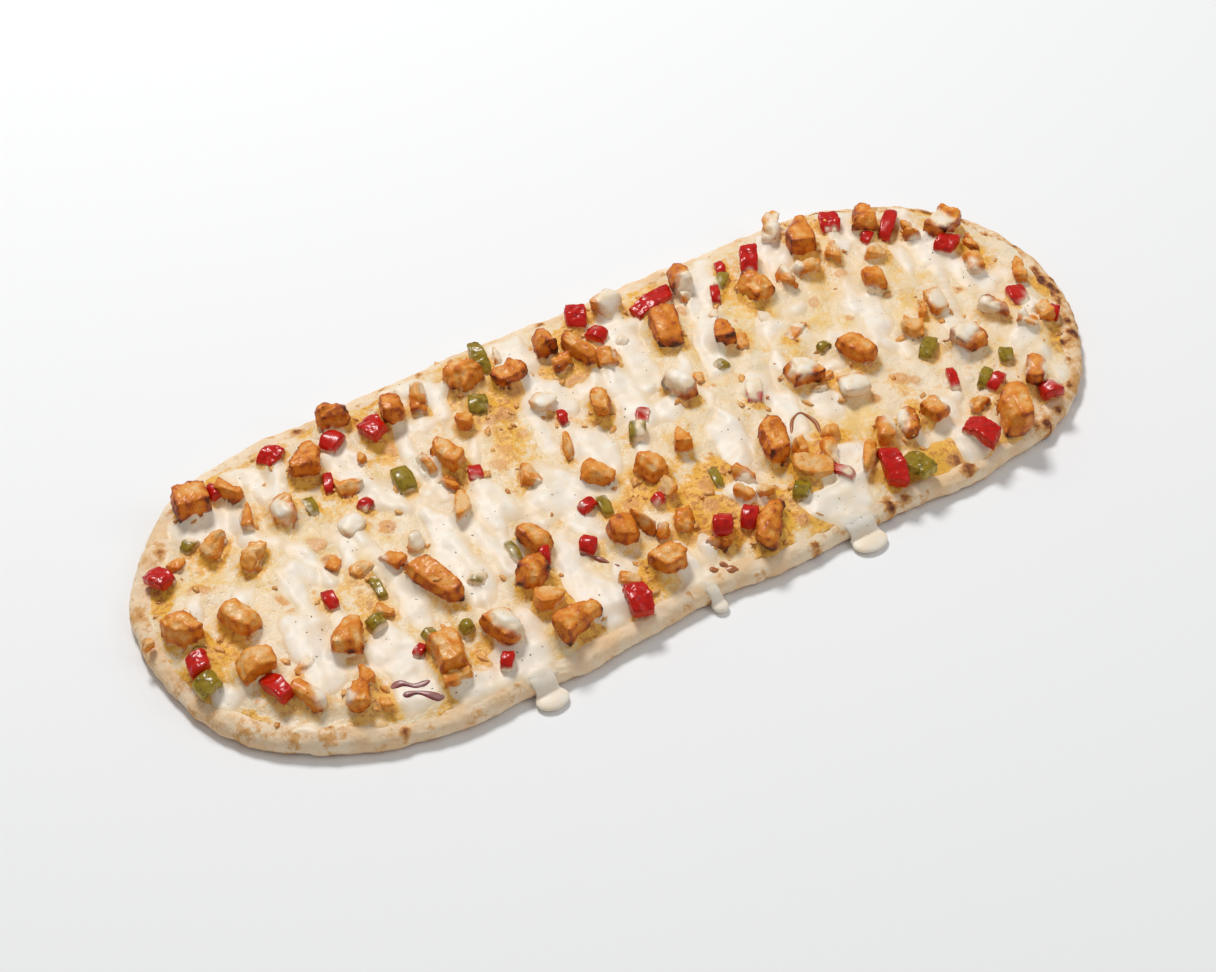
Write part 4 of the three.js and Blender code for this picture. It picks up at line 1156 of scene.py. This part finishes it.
def golden_spots(random):
    """Browned bubbles: how golden each grid point is, darkest round each bubble's rim."""
    gold = np.zeros(AT_X.shape)
    shift = 1.1 * unevenness(random, 5)
    spots = list(BLISTERS)
    for _ in range(GOLDEN_SPOT_COUNT):
        x, y = random.uniform(-190, 190), random.uniform(-74, 74)
        spots.append((x, y, random.uniform(0.8, 1.8), random.uniform(0.3, 0.7)))
    for x, y, size, strength in spots:
        away = np.hypot(AT_X - x + shift, AT_Y - y - shift) / size
        rim = np.exp(-((away - 0.75) / 0.3) ** 2)
        gold += strength * np.exp(-away ** 3) * (0.65 + 0.5 * rim)
    return gold


def fat_patches(random):
    """Where the fat has run out of the cheese."""
    fat = np.zeros(AT_X.shape)
    for x, y, along, across, turn, strength in GREASE:
        fat += strength * np.exp(-(oval_distance(x, y, along, across, turn) ** 2.5))
    return fat * (1 + 0.35 * unevenness(random, 5))


def sauce_coats(shapes):
    """Sauce on toppings: shells just inside them that swell out where it covers them."""
    heap = Heap()
    for (points, normals, faces), depth in shapes:
        if (depth > 0).mean() > COAT_SHARE:
            swell = rounded(depth, COAT_RISE, COAT_ROUND)
            heap.add(points + normals * swell[:, None], faces, thick=soft_step(-0.8, 3.0, depth))
    coats = heap.build("sauce_on_toppings")
    mesh = coats.data
    points, thick = points_of(mesh), value_of(mesh, "thick")
    smooth = over_neighbours(mesh, points, 5)
    set_points(mesh, points + (smooth - points) * np.clip(1.4 * thick, 0, 1)[:, None])
    return coats


def bodies_of(piece, heap):
    """The separate shapes of a topping: points, ways out and faces of each."""
    if heap is None:
        mesh = piece.data
        return [(points_of(mesh), normals_of(mesh), [tuple(f.vertices) for f in mesh.polygons])]
    bodies = []
    for points, faces in heap.parts:
        low, high = points.min(0), points.max(0)
        bodies.append((points, outward(points, (low + high) / 2, high - low), faces))
    return bodies


def cover_of(points, dabs, strokes, surface, least, random):
    """How deep under sauce each point of a topping lies: under dabs, and where strokes climb it."""
    at = points[:, 0], points[:, 1]
    ragged = fractal(points + random.uniform(-500, 500, 3), 5)
    low = points[:, 2].max() - points[:, 2]
    dabbed = np.minimum(read_grid(dabs, *at), 2.2) + 2.0 * ragged - 0.15 * low - 0.3
    height = points[:, 2] - read_grid(surface, *at)
    climbed = np.minimum(read_grid(strokes, *at), 3.5) - 1.1 * height
    return np.maximum(dabbed, climbed + 2.2 * ragged + random.uniform(least, least + 3.2))


def drip_shape(x, slant, width, drop, reach, near, support):
    """Sauce that runs over the near side of the rim into a drop on the floor."""
    def over(at, y, lift):
        return (at, y, float(read_grid(support, np.array(at), np.array(y))) + lift)

    knots = np.array([
        over(x + 0.6 * slant, near + 7, -1.4),
        over(x + 0.8 * slant, near + 3.2, -0.2),
        (x + 0.9 * slant, near + 0.9, 6.2),
        (x + slant, near - 0.6, 4.0),
        (x + slant, near - 1.2, 2.4),
        (x + slant, near - 2.4, 1.5),
    ])
    rings, sides = 40, 20
    line, ahead = curve_through(knots, rings)
    aside = np.array([1.0, 0, 0])
    out = unit(np.cross(aside, ahead))
    share = np.linspace(0, 1, rings)
    nose = np.sqrt(np.clip(1 - (1 - np.minimum(share / 0.45, 1)) ** 2, 0.01, 1))
    tail = np.sqrt(np.maximum(1 - np.maximum(2 * share - 1, 0) ** 8, 0.01))
    ends = nose * tail
    half = width / 2 * (1.0 - 0.28 * np.sin(math.pi * share ** 1.3)) * ends
    thick = (0.9 + 0.8 * share ** 2) * ends
    points = []
    for i in range(rings):
        for k in range(sides):
            turn = 2 * math.pi * k / sides
            points.append(line[i] + aside * half[i] * math.cos(turn)
                          + out[i] * thick[i] * math.sin(turn))
    block, quads = unit_block(6)
    lobe = unit(block) * (drop / 2, reach / 2 + 1, DROP_HEIGHT)
    lobe += (x + slant, near - reach / 2, DROP_HEIGHT + DROP_CLEARANCE)
    return (np.array(points), tube_faces(rings, sides)), (lobe, quads)


def make_drips(radius, support):
    runs = Heap()
    for x, *sizes in DRIPS:
        near = -radius[int(travel_of(np.array(float(x)), np.array(-END_RADIUS)))]
        for points, faces in drip_shape(x, *sizes, near, support):
            runs.add(points, faces)
    drips = runs.build("drips")
    reworked(drips.data, lambda shell: bmesh.ops.recalc_face_normals(shell, faces=shell.faces))
    remeshed(drips, DRIP_VOXEL, 8)
    points = points_of(drips.data)
    points[:, 2] = np.maximum(points[:, 2], DROP_CLEARANCE)
    set_points(drips.data, points)
    set_value(drips.data, "thick", np.ones(len(points)))
    return drips


def joined(name, pieces):
    """Several objects as one."""
    heap = Heap()
    keys = [a.name for a in pieces[0].data.attributes if a.data_type == "FLOAT"]
    for piece in pieces:
        mesh = piece.data
        faces = [tuple(p.vertices) for p in mesh.polygons]
        values = {key: value_of(mesh, key) for key in keys if key in mesh.attributes}
        heap.add(points_of(mesh), faces, **values)
        bpy.data.objects.remove(piece)
    return heap.build(name)


# ---------- herb flecks ----------

def fleck_shape():
    """A crumb of dried leaf: a thin bent flake."""
    outline = [(-0.5, -0.18), (0.1, -0.25), (0.5, 0.0), (0.15, 0.22), (-0.4, 0.2)]
    points = [(x, y, 0.12 * x * x) for x, y in outline]
    points += [(x, y, 0.12 * x * x - 0.14) for x, y in outline]
    count = len(outline)
    faces = [tuple(range(count)), tuple(range(2 * count - 1, count - 1, -1))]
    faces += [(k, k + count, (k + 1) % count + count, (k + 1) % count) for k in range(count)]
    return mesh_object("herb_fleck_shape", points, faces, smooth=False)


def crumb_shape(random):
    """A small rounded lump."""
    points, faces = unit_block(1)
    points = unit(points) * (0.5, 0.34, 0.2)
    return mesh_object("crumb_shape", points * random.uniform(0.6, 1.4, points.shape), faces)


def scatter_tree(name):
    """Geometry Nodes that strew a shape over the upward faces of a mesh."""
    tree = bpy.data.node_groups.new(name, "GeometryNodeTree")
    sockets = {}
    for label, kind, way in (
        ("Geometry", "NodeSocketGeometry", "INPUT"),
        ("Geometry", "NodeSocketGeometry", "OUTPUT"),
        ("Shape", "NodeSocketObject", "INPUT"),
        ("Per square metre", "NodeSocketFloat", "INPUT"),
        ("Smallest", "NodeSocketFloat", "INPUT"),
        ("Largest", "NodeSocketFloat", "INPUT"),
        ("Where", "NodeSocketString", "INPUT"),
        ("Seed", "NodeSocketInt", "INPUT"),
        ("Material", "NodeSocketMaterial", "INPUT"),
    ):
        made = tree.interface.new_socket(label, socket_type=kind, in_out=way)
        if way == "INPUT":
            sockets[label] = made.identifier
    add = tree.nodes.new
    given, result = add("NodeGroupInput"), add("NodeGroupOutput")
    scatter = add("GeometryNodeDistributePointsOnFaces")
    normal, split = add("GeometryNodeInputNormal"), add("ShaderNodeSeparateXYZ")
    upward = add("FunctionNodeCompare")
    upward.data_type = "FLOAT"
    upward.operation = "GREATER_THAN"
    upward.inputs[1].default_value = 0.5
    shape, put = add("GeometryNodeObjectInfo"), add("GeometryNodeInstanceOnPoints")
    spin, scale = add("FunctionNodeRandomValue"), add("FunctionNodeRandomValue")
    spin.data_type = "FLOAT_VECTOR"
    spin.inputs[0].default_value = (-0.5, -0.5, 0)
    spin.inputs[1].default_value = (0.5, 0.5, 2 * math.pi)
    scale.data_type = "FLOAT"
    realize, paint = add("GeometryNodeRealizeInstances"), add("GeometryNodeSetMaterial")
    where, share = add("GeometryNodeInputNamedAttribute"), add("ShaderNodeMath")
    where.data_type = "FLOAT"
    share.operation = "MULTIPLY"
    link = tree.links.new
    link(given.outputs["Geometry"], scatter.inputs["Mesh"])
    link(normal.outputs[0], split.inputs[0])
    link(split.outputs["Z"], upward.inputs[0])
    link(upward.outputs[0], scatter.inputs["Selection"])
    link(given.outputs["Where"], where.inputs["Name"])
    link(where.outputs["Attribute"], share.inputs[0])
    link(given.outputs["Per square metre"], share.inputs[1])
    link(share.outputs[0], scatter.inputs["Density"])
    link(given.outputs["Seed"], scatter.inputs["Seed"])
    link(scatter.outputs["Points"], put.inputs["Points"])
    link(given.outputs["Shape"], shape.inputs["Object"])
    link(shape.outputs["Geometry"], put.inputs["Instance"])
    link(spin.outputs[0], put.inputs["Rotation"])
    link(given.outputs["Smallest"], scale.inputs[2])
    link(given.outputs["Largest"], scale.inputs[3])
    link(scale.outputs[1], put.inputs["Scale"])
    link(put.outputs["Instances"], realize.inputs["Geometry"])
    link(realize.outputs["Geometry"], paint.inputs["Geometry"])
    link(given.outputs["Material"], paint.inputs["Material"])
    link(paint.outputs["Geometry"], result.inputs["Geometry"])
    return tree, sockets


def strewn(name, over, where, shape, material, density, sizes, seed):
    """Copies of a shape of about a millimetre strewn over a piece. The density, a square metre,
    is multiplied by a value on the piece, and the sizes are the smallest and largest."""
    tree, sockets = scatter_tree("strew")
    piece = placed(name, over.data.copy())
    modifier = piece.modifiers.new("strew", "NODES")
    modifier.node_group = tree
    choices = {"Shape": shape, "Per square metre": density, "Smallest": sizes[0],
               "Largest": sizes[1], "Where": where, "Seed": seed, "Material": material}
    for label, value in choices.items():
        modifier[sockets[label]] = value
    settle_modifiers(piece)
    bpy.data.objects.remove(shape)
    return piece


# ---------- light, floor and camera ----------

# The floor's half width in millimetres, and the studio in metres and watts.
FLOOR_HALF = 4000
SKY_COLOUR = (0.97, 0.985, 1, 1)
SKY_STRENGTH = 0.345
LIGHTS = {"key": ((0.12, 1.1, 1.65), 0.5, 26.2), "fill": ((0.8, -0.9, 1.2), 1.2, 4.2)}
CAMERA_PLACE = Vector((-0.37467, -0.55556, 0.65105))
CAMERA_AIM = Vector((-0.01525, -0.00745, 0))
FOCAL_LENGTH = 72.08
SENSOR_WIDTH = 36


def make_floor():
    corners = [(FLOOR_HALF * x, FLOOR_HALF * y, 0) for x, y in ((-1, -1), (1, -1), (1, 1), (-1, 1))]
    floor = mesh_object("pale_floor", corners, [(0, 1, 2, 3)], smooth=False)
    floor.data.materials.append(floor_finish())


def soft_light(name, place, size, power):
    """A round lamp that shines at the middle of the part."""
    lamp = bpy.data.lights.new(name, "AREA")
    lamp.shape = "DISK"
    lamp.size = size
    lamp.energy = power
    made = placed(name, lamp)
    made.location = place
    made.rotation_euler = (Vector() - Vector(place)).to_track_quat("-Z", "Y").to_euler()


def make_studio():
    world = bpy.data.worlds.new("studio")
    world.use_nodes = True
    background = world.node_tree.nodes["Background"]
    background.inputs["Color"].default_value = SKY_COLOUR
    background.inputs["Strength"].default_value = SKY_STRENGTH
    bpy.context.scene.world = world
    for name, setting in LIGHTS.items():
        soft_light(name, *setting)
    bpy.context.scene.view_settings.view_transform = "Standard"


def make_camera():
    lens = bpy.data.cameras.new("camera")
    lens.lens = FOCAL_LENGTH
    lens.sensor_width = SENSOR_WIDTH
    lens.sensor_fit = "HORIZONTAL"
    lens.clip_start = 0.05
    camera = placed("camera", lens)
    camera.location = CAMERA_PLACE
    camera.rotation_euler = (CAMERA_AIM - CAMERA_PLACE).to_track_quat("-Z", "Y").to_euler()
    bpy.context.scene.camera = camera


# ---------- the flatbread ----------

def belongs(piece, slot, *nodes):
    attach(piece, "root")
    if nodes:
        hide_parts(*nodes)


def painted(pieces, finish):
    """Gives pieces one material."""
    for piece in pieces:
        piece.data.materials.clear()
        piece.data.materials.append(finish)


def inside_crust(crust):
    """How far in each grid point lies, how high the bread is there, and the outline's reach."""
    shell = tree_of([crust])
    radius = outline_radius(shell)
    spine = np.clip(AT_X, -STRAIGHT_HALF, STRAIGHT_HALF)
    travel = travel_of(AT_X, AT_Y).astype(int) % len(radius)
    inset = radius[travel] - np.hypot(AT_X - spine, AT_Y)
    rim = heights_over(shell, (inset > 0) & (inset < BED_INSET))
    return inset, np.where(inset >= BED_INSET, BED_HEIGHT, rim), radius


def cheese_surface(inset, rim, over, covered, random):
    """How far in from the cheese's edge each point lies, its top, and that without high banks."""
    left, right = streaks(random, 30, 5, 84), streaks(random, 30, 5, 66)
    ridges = left + (right - left) * soft_step(-40, 40, AT_X)
    level = CHEESE_HEIGHT - 0.2 + 0.55 * unevenness(random, 20) + 0.7 * unevenness(random, 8)
    level += 0.42 * unevenness(random, 3.6) + 0.62 * ridges
    stands = np.where(covered, over - CHEESE_HEIGHT, 0)
    mound = (0.78 + 0.30 * unevenness(random, 12)) * blur(stands, 2.0)
    mound = np.where(covered, np.minimum(mound, np.maximum(stands - TOP_SHOWS, 0)), mound)
    level += mound
    edge = inset - CHEESE_EDGE_INSET - CHEESE_WANDER * unevenness(random, 22)
    edge -= 1.0 * unevenness(random, 6)
    shoulder = soft_step(-2.5, CHEESE_SHOULDER, edge)
    top = rim - CHEESE_THIN + (level - rim + CHEESE_THIN) * shoulder
    return edge, top, top - np.maximum(mound - BANK_HEIGHT, 0) * shoulder


def sauce_spread(inset, random):
    """How far inside the sauce each grid point lies, with frayed edges and a spout at each drip."""
    strokes = sauce_depth(random)
    strokes += 1.5 * unevenness(random, 9) + 1.0 * unevenness(random, 4)
    strokes += 1.1 * streaks(random, 14, 2.6, 75) + 0.9 * np.exp(-(AT_X / 75) ** 2)
    strokes = np.minimum(strokes, inset - SAUCE_INSET)
    for x, slant, width, _, _ in DRIPS:
        away = np.abs(AT_X - x - slant * soft_step(12, 0, inset))
        spout = width / 2 * (1 + 0.45 * soft_step(3, 14, inset)) - away + 0.5 * unevenness(random, 5)
        at_spout = (inset > 0.8) & (AT_Y < SPOUT_SIDE)
        strokes = np.where(at_spout, np.maximum(strokes, spout), strokes)
    return strokes


def cheese_tones(covered, edge, strokes, wet, random):
    """What colours the cheese: golden bubbles, fat with crumbs, painted shade as orange fat on the
    near side of toppings, a milky film and yellow.
    """
    pools = streaks(random, 24, 9, 75) + 0.5 * unevenness(random, 6)
    pools += 0.3 * soft_step(50, 110, AT_X)
    milk = np.clip(blur(wet, 2.0) * 1.2 + soft_step(0.0, 0.9, pools), 0, 1)
    gold = golden_spots(random) * (1 - soft_step(-1, 1, strokes))
    # Painted shade: a ring of orange fat round the toppings, moved 1.6 mm to their near side where
    # their shade falls; some fat does run out of them.
    below = np.roll(covered, -2, axis=1)
    shade_and_grease_ring = np.clip(3 * blur(below.astype(float), 1.5), 0, 1)
    fat = 1.3 * fat_patches(random) + shade_and_grease_ring * (0.60 + 0.55 * unevenness(random, 12))
    patchy = soft_step(-0.1, 0.9, unevenness(random, 9) + 0.4 * unevenness(random, 3))
    fat += 0.42 * patchy * (1 - 0.3 * soft_step(50, 110, AT_X))
    fat += 0.6 * np.exp(-((edge - 1.5) / 2.5) ** 2) * soft_step(-0.3, 0.6, unevenness(random, 10))
    milk *= 1 - 0.8 * np.clip(fat, 0, 1)
    milk *= 1 - np.clip(gold, 0, 1)
    yellow = 0.3 + 0.10 * soft_step(20, 130, AT_X) + 0.35 * unevenness(random, 20)
    # The fat value holds both the fat that has run out and the painted shade by the toppings.
    return {"gold": gold, "grease": np.clip(fat, 0, 1.1), "milk": milk, "yellow": yellow}


def laid_on(piece, surface):
    """Moves strips made at the height of the cheese onto its uneven surface."""
    points = points_of(piece.data)
    points[:, 2] += read_grid(surface, points[:, 0], points[:, 1])
    points[:, 2] -= CHEESE_HEIGHT + STRIP_SINK
    set_points(piece.data, points)


def film_over(toppings, heaps, dabs, strokes, banks, random):
    """Gives toppings their film of sauce, and lists their shapes with the depth of sauce on each."""
    shapes = []
    for piece in toppings:
        bodies = bodies_of(piece, heaps.get(piece))
        least = -2.6 if len(bodies) > 1 else -4.4
        covers = [cover_of(body[0], dabs, strokes, banks, least, random) for body in bodies]
        shapes += zip(bodies, covers)
        points = points_of(piece.data)
        above = points[:, 2] - read_grid(banks, points[:, 0], points[:, 1])
        film = soft_step(0.3, 1.1, 1.1 - above / 1.1 + 0.9 * fractal(points, 2.6))
        film = np.maximum(film, soft_step(-2.2, 0.8, np.concatenate(covers)))
        set_value(piece.data, "film", 0.75 * film)
    return shapes


def build():
    random = np.random.default_rng(7)
    crust = make_crust()
    belongs(crust, "crust", "crust")
    painted([crust], crust_finish())

    names = sorted(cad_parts)
    chicken = [make_chicken(n, random) for n in names if n.startswith("chicken")]
    red = [make_pepper(n, random) for n in names if n.startswith("red")]
    green = [make_pepper(n, random) for n in names if n.startswith("green")]
    small = [small_chicken(SMALL_CHICKEN, random), small_pepper(SMALL_RED_PEPPER, random),
             small_pepper(SMALL_GREEN_PEPPER, random)]
    chicken.append(small[0].build("small_roast_chicken"))
    red.append(small[1].build("small_red_pepper"))
    green.append(small[2].build("small_green_pepper"))
    onion = make_onion(random)
    for piece, slot in ((chicken[-1], "chicken"), (red[-1], "red_pepper"),
                        (green[-1], "green_pepper"), (onion, None)):
        belongs(piece, slot)
    toppings = chicken + red + green
    heaps = dict(zip((chicken[-1], red[-1], green[-1]), small))

    inset, rim, radius = inside_crust(crust)
    over = heights_over(tree_of(toppings), inset > 2)
    covered = over > CHEESE_HEIGHT - COVER_SLACK
    edge, cheese_top, banks = cheese_surface(inset, rim, over, covered, random)
    strokes = sauce_spread(inset, random)
    dabs = joined_depth([dab_depth(*row) for row in SAUCE_DABS])
    support = np.maximum(cheese_top, rim)
    flow = support + rounded(strokes, SAUCE_RISE, SAUCE_ROUND)
    flow += 0.26 * streaks(random, 20, 2.6, 76) * soft_step(0, 4, strokes)
    wet = np.maximum(soft_step(-1.5, 1.5, strokes), soft_step(-1.5, 1.5, dabs))

    tones = cheese_tones(covered, edge, strokes, wet, random)
    cheese_top += BUBBLE_RISE * np.clip(tones["gold"], 0, 1) * (edge > 1)
    cheese_bottom = np.full(AT_X.shape, CHEESE_BOTTOM)
    cheese = sheet_mesh("melted_cheese", edge > -0.8, cheese_top, cheese_bottom, tones)
    belongs(cheese, "cheese", "cheese")
    painted([cheese], cheese_finish())
    laid_on(onion, np.maximum(flow, cheese_top))

    underside = np.minimum(support - 1.2, SAUCE_BOTTOM)
    thick = {"thick": soft_step(-0.8, 4.5, strokes)}
    sauce = sheet_mesh("sauce", strokes > SAUCE_EDGE, flow, underside, thick)
    coats = sauce_coats(film_over(toppings, heaps, dabs, strokes, banks, random))
    sauce = joined("white_sauce", [sauce, make_drips(radius, support)])
    painted([sauce, coats], sauce_finish())
    for piece in (sauce, coats):
        belongs(piece, "cheese")

    herbs = strewn("herb_flecks", sauce, "thick", fleck_shape(), herb_finish(),
                   density=9000, sizes=(0.5, 1.4), seed=5)
    # Crumbs are strewn where the cheese has run-out fat and where painted shade lies by the
    # toppings.
    crumbs = strewn("browned_crumbs", cheese, "grease", crumb_shape(random), crumb_finish(),
                    density=10000, sizes=(1.0, 3.6), seed=9)
    bits = strewn("chicken_crumbs", cheese, "grease", crumb_shape(random), chicken_finish(),
                  density=5000, sizes=(2.5, 5.0), seed=12)
    for piece, slot in ((bits, None), (herbs, None), (crumbs, "cheese")):
        belongs(piece, slot)

    painted(chicken, chicken_finish())
    painted(red, pepper_finish("red_pepper"))
    painted(green, pepper_finish("green_pepper"))
    painted([onion], onion_finish())


make_camera()
make_floor()
make_studio()
build()
